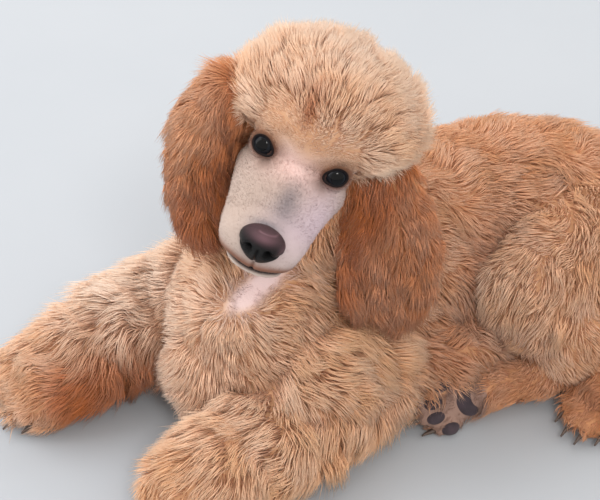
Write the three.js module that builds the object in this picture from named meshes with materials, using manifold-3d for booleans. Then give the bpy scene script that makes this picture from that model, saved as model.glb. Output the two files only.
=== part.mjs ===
// A standard poodle puppy of about three months, lying down with its head raised and turned to its left.
// Millimetres. The chest faces -Y, the dog's left side is +X, and it lies on the floor at z = 0.
import * as THREE from "three";
import { mergeVertices } from "three/addons/utils/BufferGeometryUtils.js";
import Module from "manifold-3d";

const wasm = await Module();
wasm.setup();

// Driving sizes, skin and bone.
const EYE_HEIGHT = 263.6; // middle of the two eyes, above the floor
const EYE_SPACING = 49; // between the centres of the eyes
const EYE_RADIUS = 10.5;
const LID = 1.2; // how far the lids stand over the eyeballs
const MUZZLE_LENGTH = 70; // from the eyes to the front of the lips
const NOSE_WIDTH = 29;
const SKULL_WIDTH = 88;
const CHEST_WIDTH = 122;
const CHEST_DEPTH = 158;
const FOREARM = 122; // elbow to wrist
const TOE_PITCH = 12; // between two toes of a forefoot
const CLAW_LENGTH = 12;

// Depth of the coat, from the skin to its tips. A core under the clumps reaches half as far.
const COAT_BODY = 20;
const COAT_LEG = 34;
const COAT_NECK = 27;
const COAT_SHANK = 16;
const COAT_TOPKNOT = 28;
const COAT_EAR = 14;

// Where the row of draws that varies a node's clumps starts.
const SEED = 20;
const SEEDS = { forepaw_left: 31, hind_paw_right: 33, shank_right: 35 };

const GAP = 0.3; // kept between two nodes that touch
const FAR = 900; // past the whole dog, for blocks that only cut
const LEFT = 1;
const RIGHT = -1;
const SIDES = [LEFT, RIGHT];
const sideName = { [LEFT]: "left", [RIGHT]: "right" };

const at = (x, y, z) => new THREE.Vector3(x, y, z);
const evenly = (size) => at(size, size, size);
const UP = at(0, 0, 1);
const BACK = at(0, 1, 0);
const degrees = THREE.MathUtils.degToRad;

// The head's own frame: +X to the dog's left, -Y along the muzzle, +Z up, from the middle of the eyes.
const HEAD_YAW = 31.8; // turned to its left
const HEAD_PITCH = 8.5; // muzzle raised
const HEAD_ROLL = 18.4; // left ear down
const EYES = at(41, -61, EYE_HEIGHT);
const headTurn = new THREE.Quaternion()
  .setFromAxisAngle(UP, degrees(HEAD_YAW))
  .multiply(new THREE.Quaternion().setFromAxisAngle(at(1, 0, 0), degrees(-HEAD_PITCH)))
  .multiply(new THREE.Quaternion().setFromAxisAngle(BACK, degrees(HEAD_ROLL)));
const headFrame = new THREE.Matrix4().compose(EYES, headTurn, evenly(1));
const bodyFrame = new THREE.Matrix4();

// Solids.

// A closed geometry as a solid that can be joined and cut.
function solid(geometry) {
  const bare = geometry.clone();
  bare.deleteAttribute("normal");
  bare.deleteAttribute("uv");
  const merged = mergeVertices(bare, 1e-4);
  return new wasm.Manifold(
    new wasm.Mesh({
      numProp: 3,
      vertProperties: merged.attributes.position.array,
      triVerts: new Uint32Array(merged.index.array),
    }),
  );
}

// The largest closed body of a solid, without any scrap that a cut left beside it.
function largest(cut) {
  return cut.decompose().reduce((most, body) => (body.volume() > most.volume() ? body : most));
}

const fuse = (solids) => largest(wasm.Manifold.union(solids));
const moved = (made, frame) => made.transform(frame.elements);

// A ball or oval, as round as its number of sides.
function oval(place, radii, { turn = new THREE.Quaternion(), sides = 12 } = {}) {
  const sphere = new THREE.SphereGeometry(1, sides, Math.round(sides * 0.6));
  sphere.applyMatrix4(new THREE.Matrix4().compose(place, turn, radii));
  return solid(sphere);
}

// All that lies on the far side of a plane, as a block to cut with.
function beyond(point, direction) {
  const block = new THREE.BoxGeometry(2 * FAR, 2 * FAR, FAR).translate(0, 0, FAR / 2);
  const turn = new THREE.Quaternion().setFromUnitVectors(UP, direction.clone().normalize());
  block.applyMatrix4(new THREE.Matrix4().compose(point, turn, evenly(1)));
  return solid(block);
}

const floor = beyond(at(0, 0, 0), at(0, 0, -1));

// One station of a limb: the middle of an oval section, half its width and half its height.
const station = (place, wide, high = wide) => ({ place, wide, high });

// A limb is a smooth tube of oval sections with round ends. up sets which way a section's height runs,
// and sag makes the lower half of a section fuller than an oval, as a body at rest on the floor is.
function limb(stations, { up = UP, round = 0.12, sag = 1, sides = 10, rings = 6 } = {}) {
  const path = new THREE.CatmullRomCurve3(stations.map((s) => s.place), false, "catmullrom", 0.5);
  const sizes = new THREE.CatmullRomCurve3(
    stations.map((s) => at(s.wide, s.high, 0)),
    false,
    "catmullrom",
    0.5,
  );
  const fuller = (across, over) => Math.sign(across) * Math.abs(across) ** (over < 0 ? 1 / sag : 1);
  const section = (t, grow = 0) => {
    const middle = path.getPoint(t);
    const along = path.getTangent(t).normalize();
    const side = at(0, 0, 0).crossVectors(along, up).normalize();
    const top = at(0, 0, 0).crossVectors(side, along).normalize();
    const size = sizes.getPoint(t);
    const inward = Math.min(1, Math.min(t, 1 - t) / round);
    const taper = 0.3 + 0.7 * Math.sqrt(1 - (1 - inward) ** 2);
    middle.addScaledVector(along, Math.sign(t - 0.5) * grow * Math.sqrt(1 - inward));
    return { middle, along, side, top, wide: size.x * taper + grow, high: size.y * taper + grow };
  };
  const body = (grow = 0) => {
    const tube = new THREE.CylinderGeometry(1, 1, 1, sides, rings);
    const points = tube.attributes.position;
    for (let i = 0; i < points.count; i++) {
      const across = points.getX(i);
      const over = points.getZ(i);
      const even = points.getY(i) + 0.5;
      const t = even - (0.6 * Math.sin(2 * Math.PI * even)) / (2 * Math.PI);
      const s = section(t, grow);
      const place = s.middle
        .addScaledVector(s.side, fuller(across, over) * s.wide)
        .addScaledVector(s.top, over * s.high);
      const cap = across ** 2 + over ** 2 < 0.01 ? 0.12 * Math.min(s.wide, s.high) : 0;
      place.addScaledVector(s.along, t < 0.5 ? -cap : cap);
      points.setXYZ(i, place.x, place.y, place.z);
    }
    return solid(tube);
  };
  // A place on the outline, turned by an angle from its top towards its side, and the way out from it.
  const place = (t, turn) => {
    const s = section(t);
    const across = Math.sin(degrees(turn));
    const over = Math.cos(degrees(turn));
    const tip = s.middle
      .addScaledVector(s.side, fuller(across, over) * s.wide)
      .addScaledVector(s.top, over * s.high);
    const outward = s.side.multiplyScalar(across / s.wide).addScaledVector(s.top, over / s.high).normalize();
    return { tip, outward };
  };
  return { body, place };
}

// Coat.

// A factor near 1, from a fixed row of draws, so that no two clumps are alike.
const DRAWS = 2 ** 31 - 1;
const DRAW_STEP = 16807;
let draw = SEED;
function vary(spread) {
  draw = (draw * DRAW_STEP) % DRAWS;
  return 1 + spread * ((2 * draw) / DRAWS - 1);
}

// The frame of a clump or lock: X across, Y along the lie as it lifts off the body, Z out.
function coatFrame(outward, lie, lift) {
  const along = lie.clone().addScaledVector(outward, lift).normalize();
  const across = at(0, 0, 0).crossVectors(along, outward).normalize();
  return new THREE.Matrix4().makeBasis(across, along, at(0, 0, 0).crossVectors(across, along));
}

// A rounded clump of wool with its tip at the outline and its root sunk below the core's surface.
function clump({ tip, outward, lie, wide, long, high, spin, lift = 0.1 }, grow = 0) {
  const wool = new THREE.SphereGeometry(1, 6, 3).rotateY(spin);
  wool.scale(wide + grow, long + grow, high + grow);
  wool.applyMatrix4(coatFrame(outward, lie, lift));
  const middle = tip.clone().addScaledVector(outward, -high);
  return solid(wool.translate(middle.x, middle.y, middle.z));
}

// A flat lock that leaves its root along the lie, bends over and tapers to its tip.
function lock({ tip, outward, lie, wide, long, high, bend }, grow = 0) {
  const strand = new THREE.CylinderGeometry(0.3, 0.9, 1, 4, 3);
  const points = strand.attributes.position;
  for (let i = 0; i < points.count; i++) {
    const out = points.getY(i) + 0.5;
    const full = 1 + 0.5 * Math.sin(Math.PI * out);
    points.setX(i, points.getX(i) * (wide * full + grow));
    points.setY(i, (long + 2 * grow) * out - grow);
    points.setZ(i, points.getZ(i) * (high * full + grow) + bend * high * Math.sin(Math.PI * out) - high);
  }
  strand.applyMatrix4(coatFrame(outward, lie, 0));
  return solid(strand.translate(tip.x, tip.y, tip.z));
}

// Places in staggered rows along a limb and round it, each turned about its top, with varied sizes.
// A negative step makes the coat lie back towards the start of the limb.
function rows(form, { from, to, count, round, arc = 360, top = 0, wide, long, high, step = 0.12 }) {
  const places = [];
  for (let row = 0; row < count; row++) {
    for (let i = 0; i < round; i++) {
      const t = Math.min(to, from + ((to - from) * (row + 0.12 * vary(1))) / Math.max(1, count - 1));
      const share = arc === 360 ? i / round : i / Math.max(1, round - 1) - 0.5;
      const turn = top + arc * (share + ((row % 2) * 0.5 - 0.25 + 0.06 * vary(1)) / round);
      const { tip, outward } = form.place(t, turn);
      const later = THREE.MathUtils.clamp(t + step, 0.02, 0.98);
      const size = vary(0.14);
      places.push({
        tip,
        outward,
        lie: form.place(later, turn).tip.sub(form.place(later - step, turn).tip).normalize(),
        wide: wide * size,
        long: long * size * vary(0.1),
        high: high * vary(0.08),
        spin: Math.PI * vary(1),
        bend: 0.4 * vary(0.8),
      });
    }
  }
  return places;
}

// Body.

const chest = { wide: CHEST_WIDTH / 2 + COAT_BODY, high: CHEST_DEPTH / 2 + COAT_BODY / 2 };

// Trunk, from the breast to the rump. The spine bends to the left, as the hips have rolled to the right.
const trunk = limb(
  [
    station(at(-8, -98, 102), 42, 48),
    station(at(-10, -54, 94), chest.wide - 6, chest.high - 8),
    station(at(-6, 4, 88), chest.wide, chest.high),
    station(at(8, 66, 88), chest.wide + 8, chest.high),
    station(at(20, 126, 85), chest.wide + 2, chest.high - 2),
    station(at(48, 180, 83), chest.wide + 2, chest.high - 3),
    station(at(86, 222, 75), chest.wide - 8, chest.high - 13),
    station(at(118, 250, 64), 50, 56),
  ],
  { sag: 1.35, sides: 12, rings: 8 },
);

// The belly and its coat spread to the left between the elbow and the knee.
const belly = limb([
  station(at(46, -22, 46), 34, 42),
  station(at(66, 28, 40), 43, 42),
  station(at(80, 74, 44), 46, 44),
  station(at(82, 120, 54), 42, 48),
]);

// The brisket, between the forelegs.
const BRISKET = { place: at(-14, -96, 56), radii: at(46, 42, 54) };
const brisket = (grow) => oval(BRISKET.place, BRISKET.radii.clone().addScalar(grow), { sides: 10 });

const BRISKET_WOOL = [
  [-24, 22],
  [26, 24],
  [-42, -20],
  [2, -26],
  [44, -22],
];
function brisketWool() {
  return BRISKET_WOOL.map(([turn, rise]) => {
    const way = at(0, -1, 0)
      .applyAxisAngle(at(1, 0, 0), degrees(-rise))
      .applyAxisAngle(UP, degrees(turn));
    return {
      tip: way.clone().multiply(BRISKET.radii).add(BRISKET.place),
      outward: way,
      lie: UP.clone().negate(),
      wide: 25 * vary(0.1),
      long: 32 * vary(0.1),
      high: 14,
      spin: Math.PI * vary(1),
    };
  });
}

const neck = limb(
  [
    station(at(-6, -26, 96), CHEST_WIDTH / 2, 62),
    station(at(-4, -32, 140), 38 + COAT_NECK, 62),
    station(at(2, -26, 185), 35 + COAT_NECK, 60),
    station(at(8, -12, 225), 31 + COAT_NECK, 56),
    station(at(14, -2, 255), 20 + COAT_NECK, 46),
  ],
  { up: BACK, sides: 10, rings: 6 },
);

const tail = limb([
  station(at(122, 254, 62), 24, 24),
  station(at(150, 292, 42), 30, 30),
  station(at(188, 314, 34), 34, 32),
  station(at(228, 314, 30), 26, 26),
], { sides: 8, rings: 5 });

// Forelegs: the upper arm runs back and down from the point of the shoulder, the forearm lies forward.
const LEG_RADIUS = 17 + COAT_LEG;
const ELBOWS = { [LEFT]: at(60, 0, 42), [RIGHT]: at(-86, -6, 50) };
const WRISTS = { [LEFT]: at(50, -FOREARM, 40), [RIGHT]: at(-108, -4 - FOREARM, 44) };
const FOREFEET = { [LEFT]: at(46, -168, 0), [RIGHT]: at(-118, -170, 0) };

function foreleg(side) {
  const elbow = ELBOWS[side];
  const wrist = WRISTS[side];
  const upperArm = limb([
    station(at(side * 44 - 8, -78, 98), 50, 50),
    station(at(side * 58 - 8, -42, 72), 54, 56),
    station(elbow.clone().add(at(0, 14, 0)), LEG_RADIUS + 3, LEG_RADIUS + 1),
  ]);
  const forearm = limb(
    [
      station(elbow.clone().add(at(0, 18, 0)), LEG_RADIUS - 4, LEG_RADIUS - 4),
      station(elbow.clone().lerp(wrist, 0.45), LEG_RADIUS + 2, LEG_RADIUS),
      station(elbow.clone().lerp(wrist, 1.12), LEG_RADIUS + 2, LEG_RADIUS - 3),
    ],
    { round: 0.15 },
  );
  return { upperArm, forearm };
}

const forelegs = { [LEFT]: foreleg(LEFT), [RIGHT]: foreleg(RIGHT) };

// The coat falls over the forefeet, so that only the toes show.
function cuff(side) {
  const wrist = WRISTS[side];
  const toes = FOREFEET[side].clone().setZ(32);
  return limb(
    [
      station(wrist.clone().lerp(toes, -0.25), LEG_RADIUS, LEG_RADIUS - 5),
      station(wrist.clone().lerp(toes, 0.75), LEG_RADIUS, LEG_RADIUS - 6),
      station(wrist.clone().lerp(toes, 1.75), LEG_RADIUS - 9, LEG_RADIUS - 15),
    ],
    { round: 0.2 },
  );
}

// Hind legs: both lie to the left, and the left one is bent above the right one.
const thighs = {
  [LEFT]: limb([
    station(at(88, 222, 96), 54, 52),
    station(at(110, 172, 98), 54, 56),
    station(at(116, 122, 88), 50, 54),
    station(at(112, 78, 76), 42, 46),
  ]),
  [RIGHT]: limb([
    station(at(44, 232, 50), 50, 46),
    station(at(16, 180, 46), 52, 44),
    station(at(4, 122, 40), 44, 40),
  ]),
};
const shanks = {
  [LEFT]: limb([
    station(at(138, 100, 62), 36, 40),
    station(at(158, 160, 48), 40, 42),
    station(at(176, 222, 38), 36, 38),
  ]),
  [RIGHT]: limb([
    station(at(20, 132, 28), 34, 28),
    station(at(84, 140, 24), 34, 24),
    station(at(142, 144, 24), 30, 24),
  ]),
};
const metatarsi = {
  [LEFT]: limb([
    station(at(178, 226, 28), 32, 28),
    station(at(186, 180, 26), 34, 26),
    station(at(188, 110, 24), 32, 24),
  ]),
  [RIGHT]: limb([
    station(at(150, 142, 22), 26, 22),
    station(at(134, 96, 24), 28, 24),
    station(at(110, 38, 24), 22, 22),
  ]),
};

// Feet, each in its own frame: toes along -Y, +Z the top of the foot, from under its large pad.
const TOES = [-1.5, -0.5, 0.5, 1.5];

function toePlace(toe, pitch) {
  const reach = (Math.abs(toe) < 1 ? 3 : 2.2) * pitch;
  return at(toe * pitch, -reach, 0.8 * pitch);
}

function foot(pitch, grow = 0) {
  const sized = (x, y, z) => at(x, y, z).multiplyScalar(pitch).addScalar(grow);
  const toes = TOES.map((toe) => {
    const knuckle = toePlace(toe, pitch).add(at(0, 0.7 * pitch, 0.05 * pitch));
    return oval(knuckle, sized(0.6, 1.15, 0.8), { sides: 6 });
  });
  const instep = limb(
    [
      station(at(0, 4 * pitch, 1.9 * pitch), 1.35 * pitch, 1.2 * pitch),
      station(at(0, 1.2 * pitch, 1.5 * pitch), 1.6 * pitch, 1.15 * pitch),
      station(at(0, -1.7 * pitch, 0.9 * pitch), 1.7 * pitch, 0.8 * pitch),
    ],
    { sides: 7, rings: 3 },
  );
  const pad = oval(at(0, 0, 0.5 * pitch), sized(1.25, 1, 0.6), { sides: 6 });
  return fuse([instep.body(grow), pad, ...toes]);
}

// A claw in its own frame: it leaves the toe along -Y and curves down.
function claw(grow = 0) {
  const length = CLAW_LENGTH + 2 * grow;
  const horn = new THREE.CylinderGeometry(2.7 + grow, 0.6 + grow, length, 4, 2);
  const points = horn.attributes.position;
  for (let i = 0; i < points.count; i++) {
    const out = 0.5 - points.getY(i) / length;
    points.setX(i, points.getX(i) * 0.8);
    points.setZ(i, points.getZ(i) - 3.2 * out ** 2);
  }
  return horn;
}

const clawPlace = (toe, pitch) => toePlace(toe, pitch).add(at(0, -0.62 * pitch, 0.02 * pitch));

const standing = (place, yaw) =>
  new THREE.Matrix4().compose(place, new THREE.Quaternion().setFromAxisAngle(UP, degrees(yaw)), evenly(1));

// The right hind foot lies on its outer side, with its sole turned to the left and a little up.
function lying(place, sole, pointing) {
  const top = sole.clone().normalize().negate();
  const rear = pointing.clone().normalize().negate();
  const inner = at(0, 0, 0).crossVectors(rear, top).normalize();
  rear.crossVectors(top, inner);
  return new THREE.Matrix4().makeBasis(inner, rear, top).setPosition(place);
}

const CUFF_WOOL = { from: 0.36, to: 0.86, count: 2, round: 4, arc: 230, wide: 31, long: 36, high: 18 };
const HOCK_WOOL = { from: 0.15, to: 0.8, count: 3, round: 3, arc: 150, wide: 19, long: 30, high: 10 };
const FEET = [
  {
    name: "forepaw_left",
    frame: standing(FOREFEET[LEFT], -2),
    coat: cuff(LEFT),
    depth: COAT_LEG,
    wool: CUFF_WOOL,
  },
  {
    name: "forepaw_right",
    frame: standing(FOREFEET[RIGHT], -10),
    coat: cuff(RIGHT),
    depth: COAT_LEG,
    wool: CUFF_WOOL,
  },
  {
    name: "hind_paw_left",
    frame: standing(at(188, 124, 0), 2),
    coat: metatarsi[LEFT],
    depth: COAT_SHANK,
    wool: HOCK_WOOL,
  },
  {
    name: "hind_paw_right",
    frame: lying(at(123, 37, 27), at(0.78, -0.42, 0.45), at(-0.48, -0.87, -0.1)),
    coat: metatarsi[RIGHT],
    depth: COAT_SHANK,
    wool: HOCK_WOOL,
  },
];

// Head, in its own frame.
const cranium = limb(
  [
    station(at(0, -7, 8), 32, 22),
    station(at(0, 14, 14), SKULL_WIDTH / 2 - 3, 33),
    station(at(0, 44, 14), SKULL_WIDTH / 2, 38),
    station(at(0, 86, 4), SKULL_WIDTH / 2 - 14, 28),
  ],
  { sides: 12 },
);
const muzzle = limb(
  [
    station(at(0, 30, -22), 42, 28),
    station(at(0, -2, -23), 36, 23),
    station(at(0, -30, -28), 31, 19),
    station(at(0, -54, -33), 28, 18),
    station(at(0, -MUZZLE_LENGTH, -33), 25, 16),
  ],
  { round: 0.08, sides: 14, rings: 7 },
);
const jaw = limb(
  [
    station(at(0, 30, -42), 34, 18),
    station(at(0, -20, -47), 25, 12),
    station(at(0, 7 - MUZZLE_LENGTH, -51), 20, 8.5),
  ],
  { round: 0.08, sides: 8, rings: 4 },
);
// The line of the mouth, from one corner round the front to the other.
const mouth = limb(
  [
    [30, 2, -44],
    [23, -28, -47],
    [18, 14 - MUZZLE_LENGTH, -49],
    [0, -1 - MUZZLE_LENGTH, -48],
    [-18, 14 - MUZZLE_LENGTH, -49],
    [-23, -28, -47],
    [-30, 2, -44],
  ].map((place) => station(at(...place), 1.3, 1.3)),
  { sides: 4, rings: 11 },
);

// Where the head ends and the neck begins.
const NAPE = { point: at(0, 50, -34), direction: at(0, 0.75, -0.66) };

const TOPKNOT = { place: at(3, 30, 31), radii: at(71, 60, 49) };

const eyePlace = (side) => at((side * EYE_SPACING) / 2, 0, 0);
const eyeLook = (side) => at(side * 0.2, -0.92, 0.3).normalize();
const nosePlace = at(0, -MUZZLE_LENGTH, -26);

// Clumps of the topknot stand on all of it above the brow, in a spiral from its crown.
const TOPKNOT_CLUMPS = 22;
const TOPKNOT_LOWEST = -0.42;
function topknotClumps() {
  const { place, radii } = TOPKNOT;
  const golden = Math.PI * (3 - Math.sqrt(5));
  return Array.from({ length: TOPKNOT_CLUMPS }, (_, i) => {
    const rise = 1 - ((1 - TOPKNOT_LOWEST) * (i + 0.5)) / TOPKNOT_CLUMPS;
    const flat = Math.sqrt(1 - rise ** 2);
    const way = at(flat * Math.cos(i * golden), flat * Math.sin(i * golden), rise);
    const lie = at(way.x, way.y + 0.35, way.z - 1.1);
    return {
      tip: way.clone().multiply(radii).add(place),
      outward: way.clone().divide(radii).normalize(),
      lie: lie.addScaledVector(way, -lie.dot(way)),
      wide: 22 * vary(0.12),
      long: 25 * vary(0.12),
      high: 18 * vary(0.1),
      spin: Math.PI * vary(1),
      lift: 0.3,
    };
  });
}
const topknotWool = topknotClumps();

// It stands out over the brow, and leaves the eyes clear.
function topknot(grow) {
  const radii = TOPKNOT.radii.clone().addScalar(grow - COAT_TOPKNOT / 2);
  const core = oval(TOPKNOT.place, radii, { sides: 10 });
  let made = wasm.Manifold.union([core, ...topknotWool.map((spec) => clump(spec, grow))])
    .subtract(beyond(at(0, -6, 10 - grow), at(0, -0.79, -0.61)))
    .subtract(beyond(at(0, 0, -8 - grow), at(0, 0.1, -1)));
  for (const side of SIDES) made = made.subtract(oval(at(side * 26, -10, 0), at(17, 20, 13), { sides: 10 }));
  return made;
}

function headWhole(grow = 0) {
  const lids = SIDES.map((side) => oval(eyePlace(side), evenly(EYE_RADIUS + LID + grow), { sides: 10 }));
  return fuse([cranium.body(grow), muzzle.body(grow), jaw.body(grow), topknot(grow), ...lids]).subtract(
    beyond(NAPE.point, NAPE.direction),
  );
}

function headSolid() {
  let made = headWhole().subtract(mouth.body());
  for (const side of SIDES) {
    const opening = eyePlace(side).addScaledVector(eyeLook(side), EYE_RADIUS + 2.5);
    const turn = new THREE.Quaternion().setFromUnitVectors(at(0, -1, 0), eyeLook(side));
    made = made
      .subtract(oval(eyePlace(side), evenly(EYE_RADIUS + GAP), { sides: 12 }))
      .subtract(oval(opening, at(9.4, 12, 8), { turn, sides: 10 }));
  }
  return largest(made.subtract(nose(GAP)));
}

function nose(grow = 0) {
  const leather = oval(nosePlace, at(NOSE_WIDTH / 2, 9, 12).addScalar(grow), { sides: 12 });
  if (grow > 0) return leather;
  let made = leather;
  for (const side of SIDES) {
    made = made
      .subtract(oval(nosePlace.clone().add(at(side * 5.6, -9.5, 0.5)), at(2.7, 4.5, 3.4), { sides: 6 }))
      .subtract(oval(nosePlace.clone().add(at(side * 10.4, -7, -1.5)), at(4.4, 4, 1.7), { sides: 6 }));
  }
  return largest(made);
}

// Ears hang straight down from their roots, whatever the tilt of the head.
const EARS = {
  [RIGHT]: {
    line: [at(-12, -62, 304), at(-28, -78, 266), at(-32, -84, 232), at(-30, -86, 196), at(-28, -87, 164)],
    wide: [24, 34, 34, 28, 18],
    thick: [22, 27, 25, 19, 12],
    outward: at(-0.87, -0.45, 0.2),
  },
  [LEFT]: {
    line: [at(64, -8, 254), at(74, -12, 212), at(78, -13, 179), at(80, -14, 144), at(80, -17, 112)],
    wide: [22, 36, 40, 38, 26],
    thick: [14, 20, 22, 20, 14],
    outward: at(0.76, -0.64, 0.1),
  },
};

const EAR_LEATHER = 0.86; // of the whole length, as the core of the ear's coat
const EAR_LOCK = { wide: 14, long: 58, high: 6 };
const EAR_ROWS = { from: 0.12, to: 0.62, count: 3, round: 3, arc: 180, step: 0.25, ...EAR_LOCK };
const earForms = {};
for (const side of SIDES) {
  const { line, wide, thick, outward } = EARS[side];
  const outline = limb(line.map((place, i) => station(place, wide[i], thick[i])), { up: outward });
  const half = COAT_EAR / 2;
  const stations = line.map((place, i) => {
    const kept = line[0].clone().lerp(place, i === line.length - 1 ? EAR_LEATHER : 1);
    return station(kept, wide[i] - half, thick[i] - half);
  });
  const core = limb(stations, { up: outward });
  earForms[side] = { core, locks: rows(outline, EAR_ROWS), outline };
}

function ear(side, grow = 0) {
  const { line, thick, outward } = EARS[side];
  const { core, locks } = earForms[side];
  const inner = line[1].clone().lerp(line[2], 0.3).addScaledVector(outward, COAT_EAR / 2 - thick[1]);
  const turn = new THREE.Quaternion().setFromUnitVectors(at(1, 0, 0), outward.clone().normalize());
  const cup = oval(inner, at(9 - grow, 17 - grow, 30 - grow), { turn, sides: 10 });
  return fuse([core.body(grow).subtract(cup), ...locks.map((spec) => lock(spec, grow))]);
}

// Colours.
const matt = (color) => new THREE.MeshStandardMaterial({ color, roughness: 0.95, metalness: 0 });
const apricot = matt(0xd3a075);
const paleFace = matt(0xe0bba5);
const earCoat = matt(0xb97547);
const noseSkin = new THREE.MeshStandardMaterial({ color: 0x2c2527, roughness: 0.45, metalness: 0 });
const wetEye = new THREE.MeshStandardMaterial({ color: 0x15161a, roughness: 0.05, metalness: 0 });
const darkClaw = new THREE.MeshStandardMaterial({ color: 0x3a3130, roughness: 0.5, metalness: 0 });

// Nodes. Each is cut clear of those made before it, so the outer ones come first.
const dog = new THREE.Group();

function framed(frame) {
  const group = new THREE.Group();
  frame.decompose(group.position, group.quaternion, group.scale);
  dog.add(group);
  return group;
}

function addNode(group, frame, name, made, material) {
  const data = moved(made, frame.clone().invert()).getMesh();
  const geometry = new THREE.BufferGeometry();
  geometry.setAttribute("position", new THREE.BufferAttribute(new Float32Array(data.vertProperties), 3));
  geometry.setIndex(new THREE.BufferAttribute(new Uint32Array(data.triVerts), 1));
  geometry.computeVertexNormals();
  const mesh = new THREE.Mesh(geometry, material);
  mesh.name = name;
  group.add(mesh);
}

let taken = floor;
function claim(made, grown) {
  const kept = largest(made.subtract(taken));
  taken = taken.add(grown);
  return kept;
}

const headGroup = framed(headFrame);
const inHead = (made) => moved(made, headFrame);
addNode(headGroup, headFrame, "head", claim(inHead(headSolid()), inHead(headWhole(GAP))), paleFace);
addNode(headGroup, headFrame, "nose", inHead(nose()), noseSkin);
for (const side of SIDES) {
  const eye = oval(eyePlace(side), evenly(EYE_RADIUS), { sides: 12 });
  addNode(headGroup, headFrame, "eye_" + sideName[side], inHead(eye), wetEye);
  addNode(headGroup, headFrame, "ear_" + sideName[side], claim(ear(side), ear(side, GAP)), earCoat);
}

// Clumps whose bulk would lie inside another node, or under the floor, are left off.
const HIDDEN = 0.33;
const outlines = {
  head: inHead(headWhole()),
  ears: wasm.Manifold.union(SIDES.map((side) => earForms[side].outline.body())),
  torso: wasm.Manifold.union([trunk.body(), belly.body(), brisket(0)]),
  neck: neck.body(),
  tail: tail.body(),
};
for (const side of SIDES) {
  const { upperArm, forearm } = forelegs[side];
  outlines["foreleg_" + sideName[side]] = wasm.Manifold.union([upperArm.body(), forearm.body()]);
  outlines["thigh_" + sideName[side]] = thighs[side].body();
  outlines["shank_" + sideName[side]] = shanks[side].body();
}
for (const { name, coat } of FEET) outlines[name] = coat.body();

function seen(node, specs) {
  const others = Object.keys(outlines).filter((name) => name !== node).map((name) => outlines[name]);
  const crowd = wasm.Manifold.union([floor, ...others]);
  return specs.filter((spec) => {
    const made = clump(spec);
    return made.intersect(crowd).volume() < HIDDEN * made.volume();
  });
}

// A coat over cores: the forms shrunk to half its depth, with clumps out to the full outline.
function coated(node, forms, depth, wool) {
  draw = SEEDS[node] ?? SEED;
  const kept = seen(node, wool());
  const cores = (grow) => forms.map((form) => form(grow - depth / 2));
  return (grow) => fuse([...cores(grow), ...kept.map((spec) => clump(spec, grow))]);
}

for (const { name, frame, coat, depth, wool } of FEET) {
  const group = framed(frame);
  const leg = coated(name, [coat.body], depth, () => rows(coat, wool));
  const paw = (grow) => fuse([moved(foot(TOE_PITCH, grow), frame), leg(grow)]);
  const claws = (grow) => moved(
    wasm.Manifold.union(TOES.map((toe) => solid(claw(grow)).translate(clawPlace(toe, TOE_PITCH).toArray()))),
    frame,
  );
  addNode(group, frame, name, claim(paw(0).subtract(claws(GAP)), paw(GAP).add(claws(GAP))), apricot);
  TOES.forEach((toe, i) => {
    const mesh = new THREE.Mesh(claw(), darkClaw);
    mesh.name = name.replace("hind_paw", "hind_claw").replace("forepaw", "foreclaw") + "_" + (i + 1);
    mesh.position.copy(clawPlace(toe, TOE_PITCH));
    group.add(mesh);
  });
}

const bodyGroup = framed(bodyFrame);
function addBody(name, form) {
  addNode(bodyGroup, bodyFrame, name, claim(form(0), form(GAP)), apricot);
}

const BODY_WOOL = { wide: 40, long: 46, high: 15 };
const torsoWool = () => [
  ...rows(trunk, { from: 0.08, to: 0.97, count: 6, round: 5, arc: 230, ...BODY_WOOL }),
  ...rows(belly, { from: 0.15, to: 0.6, count: 2, round: 2, arc: 80, top: 70, ...BODY_WOOL }),
  ...brisketWool(),
];
addBody("torso", coated("torso", [trunk.body, belly.body, brisket], COAT_BODY, torsoWool));

const THIGH_WOOL = { wide: 30, long: 42, high: 15 };
const SHANK_WOOL = { wide: 24, long: 36, high: 11 };
const SHANK_ROWS = { from: 0.2, to: 0.8, count: 2, round: 3, arc: 200, top: 40, ...SHANK_WOOL };
const thighWool = {
  [LEFT]: { from: 0.12, to: 0.9, count: 3, round: 4, arc: 200, top: 20, ...THIGH_WOOL },
  [RIGHT]: { from: 0.1, to: 0.8, count: 3, round: 3, arc: 140, top: -90, ...THIGH_WOOL },
};
for (const side of SIDES) {
  const name = "thigh_" + sideName[side];
  const wool = () => rows(thighs[side], thighWool[side]);
  addBody(name, coated(name, [thighs[side].body], COAT_BODY, wool));
}
const LEG_WOOL = { wide: 31, long: 38, high: 19 };
for (const side of SIDES) {
  const name = "foreleg_" + sideName[side];
  const { upperArm, forearm } = forelegs[side];
  const wool = () => [
    ...rows(upperArm, { from: 0.25, to: 0.7, count: 2, round: 3, arc: 160, top: side * 50, ...LEG_WOOL }),
    ...rows(forearm, { from: 0.2, to: 0.82, count: 2, round: 4, arc: 230, ...LEG_WOOL }),
  ];
  addBody(name, coated(name, [upperArm.body, forearm.body], COAT_LEG, wool));
}
for (const side of SIDES) {
  const name = "shank_" + sideName[side];
  const wool = () => rows(shanks[side], SHANK_ROWS);
  addBody(name, coated(name, [shanks[side].body], COAT_SHANK, wool));
}
const tailWool = () => rows(tail, { from: 0.4, to: 0.84, count: 2, round: 4, wide: 24, long: 40, high: 13 });
addBody("tail", coated("tail", [tail.body], COAT_SHANK, tailWool));

const NECK_WOOL = { wide: 33, long: 46, high: 16 };
const neckWool = () => rows(neck, { from: 0.5, to: 0.86, count: 2, round: 6, step: -0.12, ...NECK_WOOL });
const mane = coated("neck", [neck.body], COAT_NECK, neckWool);
addBody("neck", (grow) => mane(grow).subtract(
  inHead(beyond(NAPE.point.clone().addScaledVector(NAPE.direction, GAP), NAPE.direction.clone().negate())),
));

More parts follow.
